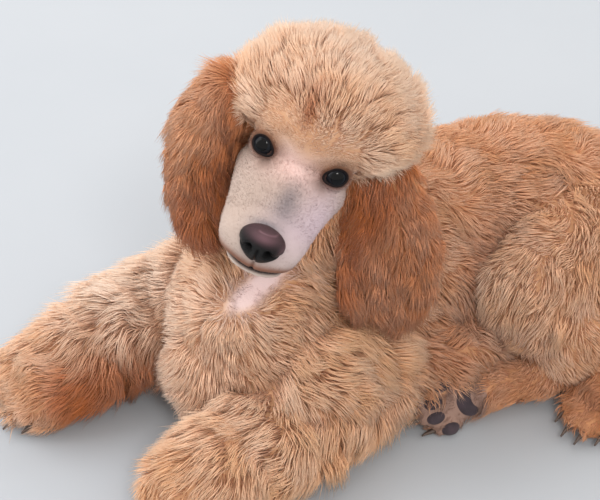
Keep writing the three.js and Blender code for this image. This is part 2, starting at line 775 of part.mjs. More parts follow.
// The origin is on the floor, under the middle of the dog.
const reach = new THREE.Box3().setFromObject(dog, true);
const middle = reach.getCenter(at(0, 0, 0)).setZ(0);
dog.position.sub(middle);
const model = new THREE.Group();
model.add(dog);

export default model;
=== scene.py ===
"""A standard poodle puppy lying with its head raised: skin, coat, eyes, nose, claws and pads.

Places and sizes are in millimetres in the dog's own frame, and the meshes in metres in the frame's.
"""

import math
from collections import namedtuple

import bpy
import numpy as np
from mathutils import Matrix, Vector
from mathutils.kdtree import KDTree


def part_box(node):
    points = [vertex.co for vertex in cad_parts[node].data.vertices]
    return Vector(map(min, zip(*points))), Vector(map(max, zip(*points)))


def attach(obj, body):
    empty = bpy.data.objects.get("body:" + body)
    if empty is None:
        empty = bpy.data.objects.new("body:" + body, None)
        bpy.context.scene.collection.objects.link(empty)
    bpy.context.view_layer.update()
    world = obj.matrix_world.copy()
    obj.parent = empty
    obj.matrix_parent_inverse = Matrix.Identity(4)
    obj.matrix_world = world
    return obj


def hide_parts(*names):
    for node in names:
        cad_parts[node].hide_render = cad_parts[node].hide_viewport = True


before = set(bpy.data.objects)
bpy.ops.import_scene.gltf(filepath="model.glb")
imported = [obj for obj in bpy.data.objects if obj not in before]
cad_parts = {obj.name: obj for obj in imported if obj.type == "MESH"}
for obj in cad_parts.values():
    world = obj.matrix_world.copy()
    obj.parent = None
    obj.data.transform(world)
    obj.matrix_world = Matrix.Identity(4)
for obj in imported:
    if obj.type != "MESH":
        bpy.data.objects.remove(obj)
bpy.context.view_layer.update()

MM = 0.001
LEFT = 1
RIGHT = -1
SIDE_NAMES = {LEFT: "left", RIGHT: "right"}
UP = np.array((0.0, 0.0, 1.0))
BACK = np.array((0.0, 1.0, 0.0))


def unit(vectors):
    """Vectors at length 1."""
    vectors = np.asarray(vectors, float)
    return vectors / np.maximum(np.linalg.norm(vectors, axis=-1, keepdims=True), 1e-9)


def smoothstep(x):
    """0 up to 0 and 1 from 1 on, with a smooth rise between."""
    x = np.clip(x, 0.0, 1.0)
    return x * x * (3 - 2 * x)


def hump(x, wide, power=2):
    """1 where x is 0, and less on both sides, down to 0 past about twice the width."""
    return np.exp(-((x / wide) ** power))


# The head's frame: +X to the dog's left, -Y along the muzzle, +Z up, from the middle of the eyes.
EYES = np.array((41.0, -61.0, 263.6))
EYE_SPACING = 49.0
EYE_RADIUS = 10.5
HEAD_YAW = 31.8
HEAD_PITCH = 8.5
HEAD_ROLL = 18.4
HEAD_TURN = np.array(
    Matrix.Rotation(math.radians(HEAD_YAW), 3, "Z")
    @ Matrix.Rotation(math.radians(-HEAD_PITCH), 3, "X")
    @ Matrix.Rotation(math.radians(HEAD_ROLL), 3, "Y")
)


def from_head(places):
    """Places in the head's frame, in the dog's."""
    return np.asarray(places, float) @ HEAD_TURN.T + EYES


def to_head(places):
    """Places in the dog's frame, in the head's."""
    return (np.asarray(places, float) - EYES) @ HEAD_TURN


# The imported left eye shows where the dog's own origin lies in the frame.
eye_low, eye_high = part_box("eye_left")
ORIGIN = np.array((eye_low + eye_high) / 2) / MM - from_head((EYE_SPACING / 2, 0, 0))


def placed(places):
    """Places in the dog's frame, in metres in the frame's."""
    return (np.asarray(places, float) + ORIGIN) * MM


# Depths of the coat, from the skin to its tips.
DEPTH_BODY = 8.5
DEPTH_LEG = 13.0
DEPTH_NECK = 10.5
DEPTH_SHANK = 7.5
DEPTH_TOPKNOT = 12.0
DEPTH_EAR = 7.0
DEPTH_FACE = 0.8
DEPTH_FOOT = 0.4


# Forms

SECTION_STEPS = 80
# The first and last oval of a limb stand in from its ends by a share of their size, at most this much of its
# length.
END_SHARE = 0.75
END_MOST = 0.45
FORM_SPACING = 0.42
RUN_STEP = 0.02


def smooth_line(points, count):
    """Points spread along a smooth curve through the given ones."""
    points = np.array(points, float)
    ends = np.vstack([2 * points[0] - points[1], points, 2 * points[-1] - points[-2]])
    t = np.linspace(0, len(points) - 1, count)
    i = np.minimum(t.astype(int), len(points) - 2)
    u = (t - i)[:, None]
    a, b, c, d = ends[i], ends[i + 1], ends[i + 2], ends[i + 3]
    slope = 0.5 * (c - a)
    return b + slope * u + (a - 2.5 * b + 2 * c - 0.5 * d) * u**2 + 0.5 * (3 * b - a - 3 * c + d) * u**3


def oval(part, centre, radii, axes=np.eye(3), flow=(0, 0, -1)):
    """One oval of the body: its axes are the rows of a matrix, and flow is the lie of the coat on it."""
    values = {"centre": centre, "radii": radii, "axes": axes, "flow": flow}
    return {"part": part, **{key: np.array(value, float) for key, value in values.items()}}


def at(mark, reached, rows):
    """The rows that belong to places along a line, at a mark between them."""
    return np.array([np.interp(mark, reached, row) for row in rows.T])


def limb(part, stations, inset=0.0, up=UP, flow=1.0, fall=(0.3, 0.3)):
    """Ovals along a smooth line through stations of place, half width and half height, less an inset.

    Its coat lies along it, or back where flow is below 0. Fall is how far it hangs, at the start and at
    the end.
    """
    stations = np.array(stations, float)
    line = smooth_line(stations[:, :3], SECTION_STEPS)
    sizes = smooth_line(stations[:, 3:], SECTION_STEPS) - inset
    reached = np.concatenate([[0], np.cumsum(np.linalg.norm(np.diff(line, axis=0), axis=1))])
    length = reached[-1]
    first = min(END_SHARE * sizes[0].min(), END_MOST * length)
    last = length - min(END_SHARE * sizes[-1].min(), END_MOST * length)
    count = max(2, int((last - first) / (FORM_SPACING * sizes.min())) + 1)
    made = []
    for mark in np.linspace(first, last, count):
        centre = at(mark, reached, line)
        wide, high = at(mark, reached, sizes)
        step = RUN_STEP * length
        along = unit(at(mark + step, reached, line) - at(mark - step, reached, line))
        side = unit(np.cross(along, up))
        top = np.cross(side, along)
        radii = (wide, END_SHARE * min(wide, high), high)
        drop = fall[0] + (fall[1] - fall[0]) * mark / length
        made.append(oval(part, centre, radii, (side, along, top), flow * along - drop * UP))
    return made


def laid(made, turn, place):
    """Forms turned, and moved to their place."""
    for form in made:
        form["centre"] = form["centre"] @ turn.T + place
        form["axes"] = form["axes"] @ turn.T
        form["flow"] = form["flow"] @ turn.T
    return made


CHEST_WIDE = 81
CHEST_HIGH = 89
LEG_RADIUS = 51
ELBOWS = {LEFT: np.array((60, 0, 42)), RIGHT: np.array((-86, -6, 50))}
WRISTS = {LEFT: np.array((50, -122, 40)), RIGHT: np.array((-108, -126, 44))}
FOREFEET = {LEFT: np.array((46, -168, 0)), RIGHT: np.array((-118, -170, 0))}
TOE_PITCH = 12.0
TOES = (-1.5, -0.5, 0.5, 1.5)
MUZZLE_LENGTH = 70.0
NOSE = np.array((0, -MUZZLE_LENGTH, -26))
NOSE_RADII = np.array((14.5, 9.0, 12.8))
NOSE_BARE = (15, 10, 12.5)
TOPKNOT = np.array((3, 30, 31))
TOPKNOT_RADII = np.array((71, 60, 49))


def trunk_forms():
    """The torso with its belly and brisket, the neck and the tail."""
    spine = [
        (-8, -98, 102, 42, 48),
        (-10, -54, 94, CHEST_WIDE - 6, CHEST_HIGH - 8),
        (-6, 4, 88, CHEST_WIDE, CHEST_HIGH),
        (8, 66, 88, CHEST_WIDE + 8, CHEST_HIGH),
        (20, 126, 85, CHEST_WIDE + 2, CHEST_HIGH - 2),
        (48, 180, 83, CHEST_WIDE + 2, CHEST_HIGH - 3),
        (86, 222, 75, CHEST_WIDE - 8, CHEST_HIGH - 13),
        (118, 250, 64, 50, 56),
    ]
    belly = [(46, -22, 46, 34, 42), (66, 28, 40, 43, 42), (80, 74, 44, 46, 44), (82, 120, 54, 42, 48)]
    nape = [
        (-6, -26, 96, 61, 62),
        (-4, -32, 140, 65, 62),
        (2, -26, 185, 62, 60),
        (8, -12, 225, 58, 56),
        (14, -2, 255, 47, 46),
    ]
    tail = [(122, 254, 62, 24, 24), (150, 292, 42, 30, 30), (188, 314, 34, 34, 32), (228, 314, 30, 26, 26)]
    return [
        *limb("torso", spine, DEPTH_BODY, fall=(2.4, 0.5)),
        *limb("torso", belly, DEPTH_BODY, fall=(1.0, 1.0)),
        oval("torso", (-14, -96, 56), np.array((46, 42, 54)) - DEPTH_BODY, flow=(0, -0.2, -1)),
        *limb("neck", nape, DEPTH_NECK, up=BACK, flow=-1.0),
        *limb("tail", tail, DEPTH_SHANK),
    ]


def between(a, b, share):
    """A point on the line from a to b, or past its ends."""
    return a + (b - a) * share


def foreleg_forms(side):
    """A foreleg from its shoulder to its elbow and wrist, and the cuff of its coat round the foot."""
    name = SIDE_NAMES[side]
    elbow, wrist = ELBOWS[side], WRISTS[side]
    toes = FOREFEET[side] + np.array((0, 0, 32))
    upper = [
        (side * 44 - 8, -78, 98, LEG_RADIUS - 1, LEG_RADIUS - 1),
        (side * 58 - 8, -42, 72, LEG_RADIUS + 3, LEG_RADIUS + 5),
        (*(elbow + (0, 14, 0)), LEG_RADIUS + 3, LEG_RADIUS + 1),
    ]
    forearm = [
        (*(elbow + (0, 18, 0)), LEG_RADIUS - 4, LEG_RADIUS - 4),
        (*between(elbow, wrist, 0.45), LEG_RADIUS + 2, LEG_RADIUS),
        (*between(elbow, wrist, 1.12), LEG_RADIUS + 2, LEG_RADIUS - 3),
    ]
    cuff = [
        (*between(wrist, toes, -0.25), LEG_RADIUS, LEG_RADIUS - 5),
        (*between(wrist, toes, 0.75), LEG_RADIUS, LEG_RADIUS - 6),
        (*between(wrist, toes, 1.75), LEG_RADIUS - 9, LEG_RADIUS - 15),
    ]
    return [
        *limb("foreleg_" + name, upper, DEPTH_LEG, fall=(0.5, 0.5)),
        *limb("foreleg_" + name, forearm, DEPTH_LEG, fall=(0.5, 0.5)),
        *limb("forepaw_" + name, cuff, DEPTH_LEG, fall=(0.6, 0.6)),
    ]


HIND_LEGS = {
    "thigh_left": [
        (88, 222, 96, 54, 52),
        (110, 172, 98, 54, 56),
        (116, 122, 88, 50, 54),
        (112, 78, 76, 42, 46),
    ],
    "thigh_right": [(44, 232, 50, 50, 46), (16, 180, 46, 52, 44), (4, 122, 40, 44, 40)],
    "shank_left": [(138, 100, 62, 36, 40), (158, 160, 48, 40, 42), (176, 222, 38, 36, 38)],
    "shank_right": [(20, 132, 28, 34, 28), (84, 140, 24, 34, 24), (142, 144, 24, 30, 24)],
    "hind_paw_left": [(178, 226, 28, 32, 28), (186, 180, 26, 34, 26), (188, 110, 24, 32, 24)],
    "hind_paw_right": [(150, 142, 22, 26, 22), (134, 96, 24, 28, 24), (110, 38, 24, 22, 22)],
}
HIND_DEPTHS = {"thigh": DEPTH_BODY, "shank": DEPTH_SHANK, "hind": DEPTH_SHANK}


def hind_forms():
    """Both hind legs, from the thighs to the feet."""
    return [
        form
        for part, stations in HIND_LEGS.items()
        for form in limb(part, stations, HIND_DEPTHS[part.split("_")[0]], fall=(0.6, 0.6))
    ]


# Each foot has a frame of its own, from under its large pad: toes along -Y, and +Z to the top of the foot.
def standing(place, yaw):
    """The frame of a foot that stands on the floor."""
    return Matrix.Translation(place) @ Matrix.Rotation(math.radians(yaw), 4, "Z")


def lying(place, sole, pointing):
    """The frame of a foot whose sole and toes face given ways."""
    top = -Vector(sole).normalized()
    rear = -Vector(pointing).normalized()
    inner = rear.cross(top).normalized()
    rear = top.cross(inner)
    turn = Matrix((inner, rear, top)).transposed()
    return Matrix.Translation(place) @ turn.to_4x4()


FEET = {
    "forepaw_left": standing(FOREFEET[LEFT], -2),
    "forepaw_right": standing(FOREFEET[RIGHT], -10),
    "hind_paw_left": standing((188, 124, 0), 2),
    "hind_paw_right": lying((123, 37, 27), (0.78, -0.42, 0.45), (-0.48, -0.87, -0.1)),
}


def moved_by(matrix, places):
    """Places turned and moved by a matrix."""
    matrix = np.array(matrix)
    return places @ matrix[:3, :3].T + matrix[:3, 3]


def toe_place(toe):
    """Where a toe is, in the frame of its foot: the inner two reach further."""
    ahead = 3 if abs(toe) < 1 else 2.2
    return np.array((toe, -ahead, 0.8)) * TOE_PITCH


def foot_forms(name):
    """A foot under its hair: the part over the large pad, the instep and the toes."""
    low = oval(name, (0, 0, 0.6 * TOE_PITCH), np.array((1.2, 0.95, 0.55)) * TOE_PITCH)
    arch = np.array([(0, 4, 1.9, 1.35, 1.2), (0, 1.2, 1.5, 1.6, 1.15), (0, -1.7, 0.9, 1.7, 0.8)])
    instep = limb(name, arch * TOE_PITCH, DEPTH_FOOT, fall=(0, 0))
    toes = [
        oval(name, toe_place(toe) + (0, 8.4, 0.6), (6.8, 13.4, 9.2), flow=(0, -1, 0)) for toe in TOES
    ]
    return laid([low, *instep, *toes], np.array(FEET[name].to_3x3()), np.array(FEET[name].translation))


# The middle and the radii of each pad, in the frame of its foot, the large one first.
PADS = [((0, 1, 4.6), (13.5, 9.5, 5.4))]
PADS += [(tuple(toe_place(toe) + (0, 9.0, -5.0)), (5.4, 7.4, 5.0)) for toe in TOES]
# How many times wider than a pad the spot is where no hair grows, where it is short, and where it is grey:
# the sole's darker skin and painted shade between the pads.
PADS_BARE = 1.12
PADS_SHORT = 1.7
PADS_GREY_AND_SHADE = 1.9

EARS = {
    RIGHT: {
        "line": [
            (-12, -62, 304, 24, 22),
            (-28, -78, 266, 34, 27),
            (-32, -84, 232, 34, 25),
            (-30, -86, 196, 28, 19),
            (-28, -87, 166, 18, 12),
        ],
        "outward": (-0.87, -0.45, 0.2),
    },
    LEFT: {
        "line": [
            (64, -8, 254, 22, 14),
            (74, -12, 212, 36, 20),
            (78, -13, 179, 40, 22),
            (80, -14, 144, 38, 20),
            (80, -17, 112, 26, 14),
        ],
        "outward": (0.76, -0.64, 0.1),
    },
}
# How far the skin of the ear reaches down the line of its coat.
EAR_LEATHER = 0.88


def ear_forms(side):
    """An ear, down to the end of its skin."""
    line = np.array(EARS[side]["line"], float)
    line[-1, :3] = line[0, :3] + (line[-1, :3] - line[0, :3]) * EAR_LEATHER
    outward = unit(EARS[side]["outward"])
    return limb("ear_" + SIDE_NAMES[side], line, DEPTH_EAR, up=outward, fall=(0.4, 0.4))


def head_forms():
    """The head and its topknot, laid out in the head's frame."""
    cranium = [(0, -7, 8, 32, 22), (0, 14, 14, 41, 33), (0, 44, 14, 44, 38), (0, 86, 4, 30, 28)]
    muzzle = [
        (0, 30, -22, 42, 28),
        (-1.5, -2, -23, 37.5, 23),
        (-1.8, -30, -28, 33, 19),
        (-1.5, -54, -33, 30, 18),
        (-1, -MUZZLE_LENGTH, -33, 26, 16),
    ]
    jaw = [(0, 30, -42, 34, 18), (0, -20, -46, 25, 12), (0, 3 - MUZZLE_LENGTH, -48, 19, 8.5)]
    crown = oval("topknot", TOPKNOT, TOPKNOT_RADII - DEPTH_TOPKNOT)
    skull = limb("head", cranium, DEPTH_FACE, fall=(0, 0))
    skull += limb("head", muzzle, DEPTH_FACE, flow=-1.0, fall=(0, 0))
    skull += limb("head", jaw, DEPTH_FACE, flow=-1.0, fall=(0, 0))
    return laid([*skull, crown], HEAD_TURN, EYES)


forms = [
    *head_forms(),
    *ear_forms(LEFT),
    *ear_forms(RIGHT),
    *trunk_forms(),
    *foreleg_forms(LEFT),
    *foreleg_forms(RIGHT),
    *hind_forms(),
]
for foot in FEET:
    forms += foot_forms(foot)
PARTS = sorted({form["part"] for form in forms})


# Skin

VOXEL = 3.3 * MM
SKIN_SMOOTHING = 8
FACE_CUTS = 3
FACE_SMOOTHING = 14
FLOOR_GAP = 0.6


def linked(name, data):
    """A new object, in the scene."""
    made = bpy.data.objects.new(name, data)
    bpy.context.scene.collection.objects.link(made)
    return made


def read(elements, name, wide=3, kind=float):
    """One value of each element of a mesh, in rows of as many numbers."""
    found = np.zeros(len(elements) * wide, kind)
    elements.foreach_get(name, found)
    return found.reshape(-1, wide) if wide > 1 else found


def deselect():
    bpy.ops.object.select_all(action="DESELECT")


def mesh_of(name, places, corners, sizes):
    """A piece from places in the dog's frame, the corners of its faces, and how many each face has."""
    mesh = bpy.data.meshes.new(name)
    mesh.vertices.add(len(places))
    mesh.vertices.foreach_set("co", placed(places).astype(np.float32).ravel())
    mesh.loops.add(len(corners))
    mesh.loops.foreach_set("vertex_index", corners.astype(np.int32))
    mesh.polygons.add(len(sizes))
    starts = np.concatenate([[0], np.cumsum(sizes)[:-1]])
    mesh.polygons.foreach_set("loop_start", starts.astype(np.int32))
    mesh.update(calc_edges=True)
    return linked(name, mesh)


def blocked_in(name):
    """One mesh with a copy of a ball for each form, stretched to it."""
    deselect()
    bpy.ops.mesh.primitive_ico_sphere_add(subdivisions=4, radius=1)
    pattern = bpy.context.object
    points = read(pattern.data.vertices, "co")
    corners = read(pattern.data.loops, "vertex_index", 1, int)
    bpy.data.objects.remove(pattern)
    places = [(points * form["radii"]) @ form["axes"] + form["centre"] for form in forms]
    corners = np.concatenate([corners + i * len(points) for i in range(len(forms))])
    return mesh_of(name, np.concatenate(places), corners, np.full(len(corners) // 3, 3))


def applied(piece, kind, **settings):
    """A modifier added to a piece and applied."""
    modifier = piece.modifiers.new(kind.lower(), kind)
    for key, value in settings.items():
        setattr(modifier, key, value)
    bpy.context.view_layer.objects.active = piece
    bpy.ops.object.modifier_apply(modifier=modifier.name)


def coordinates(piece):
    """A piece's vertices, in the dog's frame."""
    return read(piece.data.vertices, "co") / MM - ORIGIN


def shape(piece, places):
    """Moves a piece's vertices to places in the dog's frame."""
    piece.data.vertices.foreach_set("co", placed(places).ravel())
    piece.data.update()


def select_faces(piece, chosen):
    """Selects the chosen faces of a piece with their vertices and edges, for edit mode."""
    mesh = piece.data
    mesh.polygons.foreach_set("select", chosen)
    verts = np.zeros(len(mesh.vertices), bool)
    corners = read(mesh.loops, "vertex_index", 1, int)
    verts[corners[np.repeat(chosen, read(mesh.polygons, "loop_total", 1, int))]] = True
    mesh.vertices.foreach_set("select", verts)
    mesh.edges.foreach_set("select", verts[read(mesh.edges, "vertices", 2, int)].all(axis=1))


def edited(piece, *steps):
    """Runs mesh tools on a piece in edit mode: each step is a tool and its settings."""
    bpy.context.view_layer.objects.active = piece
    bpy.ops.object.mode_set(mode="EDIT")
    for tool, settings in steps:
        tool(**settings)
    bpy.ops.object.mode_set(mode="OBJECT")


def over_brow(places):
    """How far a place in the head's frame lies above the border of the topknot."""
    x, y, z = np.asarray(places).T
    brow = (y + 6) * 0.79 + (z - 10) * 0.61 + 4.5 * hump(x - 4, 13)
    temple = z + 2 + 0.1 * y + 6 * smoothstep((x - 30) / 6)
    arch = np.hypot((np.abs(x) - 26) / 1.25, z - 2) - 10
    return np.minimum(np.minimum(brow, temple), np.where(y < 12, arch, 99))


def finely_divided(piece):
    """The face and the muzzle get smaller faces, for lids, lips and folds."""
    places = to_head(read(piece.data.polygons, "center") / MM - ORIGIN)
    x, y, z = places.T
    fine = (y < 16) & (np.abs(x) < 50) & (z > -66) & (z < 24) & (over_brow(places) < 8)
    select_faces(piece, fine)
    edited(
        piece,
        (bpy.ops.mesh.select_mode, {"type": "FACE"}),
        (bpy.ops.mesh.subdivide, {"number_cuts": FACE_CUTS}),
        (bpy.ops.mesh.vertices_smooth, {"factor": 0.5, "repeat": FACE_SMOOTHING}),
    )


def distance_to_line(places, line):
    """Distance of each place from a line of points, and the nearest point on it."""
    best = np.full(len(places), 1e9)
    nearest = np.zeros_like(places)
    for a, b in zip(line[:-1], line[1:]):
        run = b - a
        share = np.clip(((places - a) @ run) / (run @ run), 0, 1)[:, None]
        on_line = a + share * run
        away = np.linalg.norm(places - on_line, axis=1)
        closer = away < best
        best[closer] = away[closer]
        nearest[closer] = on_line[closer]
    return best, nearest


LIP_ALONG = (-54, -26, 4, 30)
LIP_HEIGHTS = (-46.5, -44, -40, -38)
# Folds along the mouth: height, how far above its line, and width, for the line and the two lips.
LIP_FOLDS = [(-2.6, 0, 1.4), (1.3, 4.5, 3), (0.8, -3, 2)]
# Soft mounds of the face, alike on both sides: middle, radii, and height, below 0 for a hollow. They are the
# upper lip, the cheek, the hollow before the eye, the side of the muzzle and the brow.
MOUNDS = [
    ((15, -62, -38), (9, 14, 9), 1.6),
    ((30, 8, -18), (14, 16, 16), 1.2),
    ((17, -13, -9), (7, 9, 7), -2.0),
    ((26, -36, -22), (9, 16, 8), -1.2),
    ((24, -14, 13), (13, 8, 5), 1.4),
]


def over_lips(places):
    """How far places in the head's frame lie above the line of the mouth."""
    x, y, z = np.asarray(places).T
    front = -50 + 3.5 * smoothstep((np.abs(x) - 2) / 17)
    return z - np.where(y < -54, front, np.interp(y, LIP_ALONG, LIP_HEIGHTS))


def eye_frame(side):
    """The eye's centre, its way out, and the ways to its outer corner and up, in the head's frame."""
    centre = np.array((side * EYE_SPACING / 2, 0, 0))
    look = unit((side * 0.2, -0.92, 0.3))
    outer = np.array((side * 1.0, 0.0, 0.42))
    outer = unit(outer - look * (outer @ look))
    rise = unit(np.cross(outer, look) * -side)
    return centre, look, outer, rise


# The opening between the lids: half its width and height, how pointed it is, and half its size on average.
LID_WIDE = 6.6
LID_UPPER = 5.5
LID_LOWER = 5.3
LID_POINTED = 1.95
LID_MEAN = 6.0
# How thick the lids are over the eyeball, and at the least.
LID_OVER = 1.0
LID_LEAST = 0.6


def lid_edge(across, over):
    """How far a place on the eye is outside the opening of the lids."""
    high = np.where(over > 0, LID_UPPER, LID_LOWER)
    share = np.abs(across / LID_WIDE) ** LID_POINTED + np.abs(over / high) ** LID_POINTED
    return (share ** (1 / LID_POINTED) - 1) * LID_MEAN


def eyes_clear(places):
    """How far each place is from the opening of an eye, in the head's frame."""
    best = np.full(len(places), 99.0)
    for side in (LEFT, RIGHT):
        centre, look, outer, rise = eye_frame(side)
        away = places - centre
        edge = lid_edge(away @ outer, away @ rise)
        best = np.where(away @ look > 0, np.minimum(best, edge), best)
    return best


def lids(places):
    """Draws the skin over each eyeball, with an almond opening."""
    for side in (LEFT, RIGHT):
        centre, look, outer, rise = eye_frame(side)
        away = places - centre
        far = np.linalg.norm(away, axis=1)
        way = away / far[:, None]
        over = EYE_RADIUS * (way @ rise)
        edge = lid_edge(EYE_RADIUS * (way @ outer), over)
        drawn = smoothstep(1 - (edge - 1) / 7) * smoothstep((way @ look) * 4)
        fold = 0.8 * hump(edge - 2.6, 1.2)
        shell = EYE_RADIUS + LID_OVER - fold * (over > -2)
        target = np.where(edge < 0, EYE_RADIUS - 3, shell)
        near = far < 2.2 * EYE_RADIUS
        moved = centre + way * (far + (target - far) * drawn)[:, None]
        places[near] = moved[near]
        least = EYE_RADIUS + LID_LEAST
        sunk = np.linalg.norm(places - centre, axis=1) < least
        covered = near & sunk & (way @ look > 0) & (edge >= 0)
        places[covered] = (centre + way * least)[covered]


def features(piece):
    """Lips, cheeks, brows and lids, pressed into the finely divided face."""
    whole = to_head(coordinates(piece))
    x, y, z = whole.T
    chosen = (y < 40) & (y > -90) & (np.abs(x) < 56) & (z > -72) & (z < 30)
    places = whole[chosen]
    out = (read(piece.data.vertices, "normal") @ HEAD_TURN)[chosen]
    above = over_lips(places)
    jaws = smoothstep((6 - places[:, 1]) / 8)
    for height, rise, wide in LIP_FOLDS:
        places += out * (height * jaws * hump(above - rise, wide))[:, None]
    split = hump(places[:, 0], 1.2) * smoothstep(above / 2) * smoothstep((10 - above) / 3)
    places -= out * (1.6 * split * (places[:, 1] < -60))[:, None]
    for side in (LEFT, RIGHT):
        for centre, radii, height in MOUNDS:
            away = (((places - np.array(centre) * (side, 1, 1)) / np.array(radii)) ** 2).sum(axis=1)
            places += out * (height * np.exp(-1.5 * away))[:, None]
    lids(places)
    whole[chosen] = places
    made = from_head(whole)
    made[:, 2] = np.maximum(made[:, 2], FLOOR_GAP)
    shape(piece, made)


def skin_piece():
    """The skin of the whole dog, without seams, with its unwrap."""
    piece = blocked_in("skin")
    applied(piece, "REMESH", mode="VOXEL", voxel_size=VOXEL, use_smooth_shade=True)
    applied(piece, "SMOOTH", factor=0.5, iterations=SKIN_SMOOTHING)
    finely_divided(piece)
    features(piece)
    unwrap = {"angle_limit": math.radians(66), "island_margin": 0.001}
    edited(piece, (bpy.ops.mesh.select_all, {"action": "SELECT"}), (bpy.ops.uv.smart_project, unwrap))
    return piece


# Markings

CHUNK = 8000
BLEND_SHARPNESS = 5
THROAT = np.array([(28, -74, 178), (24, -80, 158), (10, -90, 138), (-8, -104, 108)], float)
CHEST_CROWN = np.array((4, -96, 134))
# Soft spots of colour: the colour, how much, the middle, the radii, and the part where only one has it. They
# are painted shade in deeper orange on the near flank, before the thigh, and on the near side; and pale on
# the inside of the right foreleg, the chest, the thigh and the neck.
BODY_SPOTS = [
    ("orange", 0.6, (76, 82, 84), (18, 32, 50), "torso"),
    ("orange", 0.3, (90, 30, 60), (40, 50, 30), ""),
    ("pale", 0.85, (-22, -118, 42), (15, 17, 18), ""),
    ("pale", 0.3, (0, -110, 90), (70, 40, 60), ""),
    ("pale", 0.3, (92, 102, 90), (50, 50, 60), ""),
    ("pale", 0.4, (-50, -70, 130), (40, 50, 50), "neck"),
]
# The same in the head's frame: grey fur on the bridge of the nose with painted shade just above the nose,
# rose on the brow, and lilac on the sides of the muzzle.
HEAD_SPOTS = [
    ("grey_and_shade", 0.6, (4, -36, -8), (7, 17, 9), ""),
    # Painted shade where the muzzle meets the top of the nose.
    ("grey_and_shade", 1.2, (-2, -63, -13), (13, 5, 7), ""),
    ("grey_and_shade", 0.3, (6, -48, -14), (12, 12, 10), ""),
    ("rose", 0.9, (2, -6, 4), (24, 18, 20), ""),
    ("lilac", 0.9, (26, -28, -22), (18, 34, 22), ""),
    ("lilac", 0.6, (8, -54, -24), (16, 20, 16), ""),
]


def body_field(places):
    """The part of the body that each place is on, and the blended lie of the coat there."""
    centres, axes, radii, flows = [
        np.array([form[key] for form in forms]) for key in ("centre", "axes", "radii", "flow")
    ]
    flows = unit(flows)
    names = np.array([PARTS.index(form["part"]) for form in forms])
    parts = np.zeros(len(places), int)
    lies = np.zeros((len(places), 3))
    scaled = axes / radii[:, :, None]
    for start in range(0, len(places), CHUNK):
        some = slice(start, start + CHUNK)
        share = np.zeros((len(places[some]), len(forms)))
        for i in range(3):
            row = scaled[:, i, :]
            share += (places[some] @ row.T - (centres * row).sum(axis=1)) ** 2
        parts[some] = names[share.argmin(axis=1)]
        weight = np.exp(-BLEND_SHARPNESS * (share - share.min(axis=1, keepdims=True)))
        lies[some] = weight @ flows
    return parts, unit(lies)


def spot(places, centre, radii):
    """1 in the middle of a soft spot, 0 away from it."""
    return np.exp(-(((places - np.array(centre)) / np.array(radii)) ** 2).sum(axis=1))


def spotted(colour, spots, places, part):
    """How much of a colour its soft spots give to each place."""
    found = np.zeros(len(places))
    for name, amount, centre, radii, only in spots:
        if name == colour:
            found += amount * spot(places, centre, radii) * np.char.startswith(part, only)
    return found


def throat(places):
    """1 on the clipped strip of the throat, 0 away from it."""
    away, nearest = distance_to_line(places, THROAT)
    wide = 5 + 7 * smoothstep((nearest[:, 2] - 112) / 50)
    return smoothstep(1.5 - away / wide)


def orange_fur(places, head, part):
    """Orange is deepest on the ears, deeper still as painted shade at their inner edges by the head, and
    spreads over the rump, the feet and, as painted shade, the near flank.
    """
    orange = 0.18 + 0.13 * smoothstep((places[:, 1] - 20) / 100)
    ears = np.char.startswith(part, "ear")
    # Deeper orange towards the head, along the ears' inner edges, is painted shade.
    inner = smoothstep((74 - np.abs(head[:, 0])) / 24)
    orange[ears] = (0.55 + 0.25 * smoothstep((276 - places[:, 2]) / 40) + 0.35 * inner)[ears]
    orange[part == "neck"] = 0.3
    orange += 0.4 * np.char.startswith(part, "hind")
    orange += 0.2 * (part == "torso") * smoothstep((places[:, 1] + 40) / 40)
    return orange + spotted("orange", BODY_SPOTS, places, part)


def pale_fur(places, head, part):
    """Pale is the chest, the thigh, the crown and the rim of the topknot."""
    brow = over_brow(head)
    crown = smoothstep((brow - 16) / 40) * (1 - 0.7 * smoothstep((head[:, 1] - 36) / 44))
    pale = spotted("pale", BODY_SPOTS, places, part) + 0.45 * crown * (part == "topknot")
    return pale + 0.35 * hump(brow - 8, 14) * np.isin(part, ["head", "topknot"])


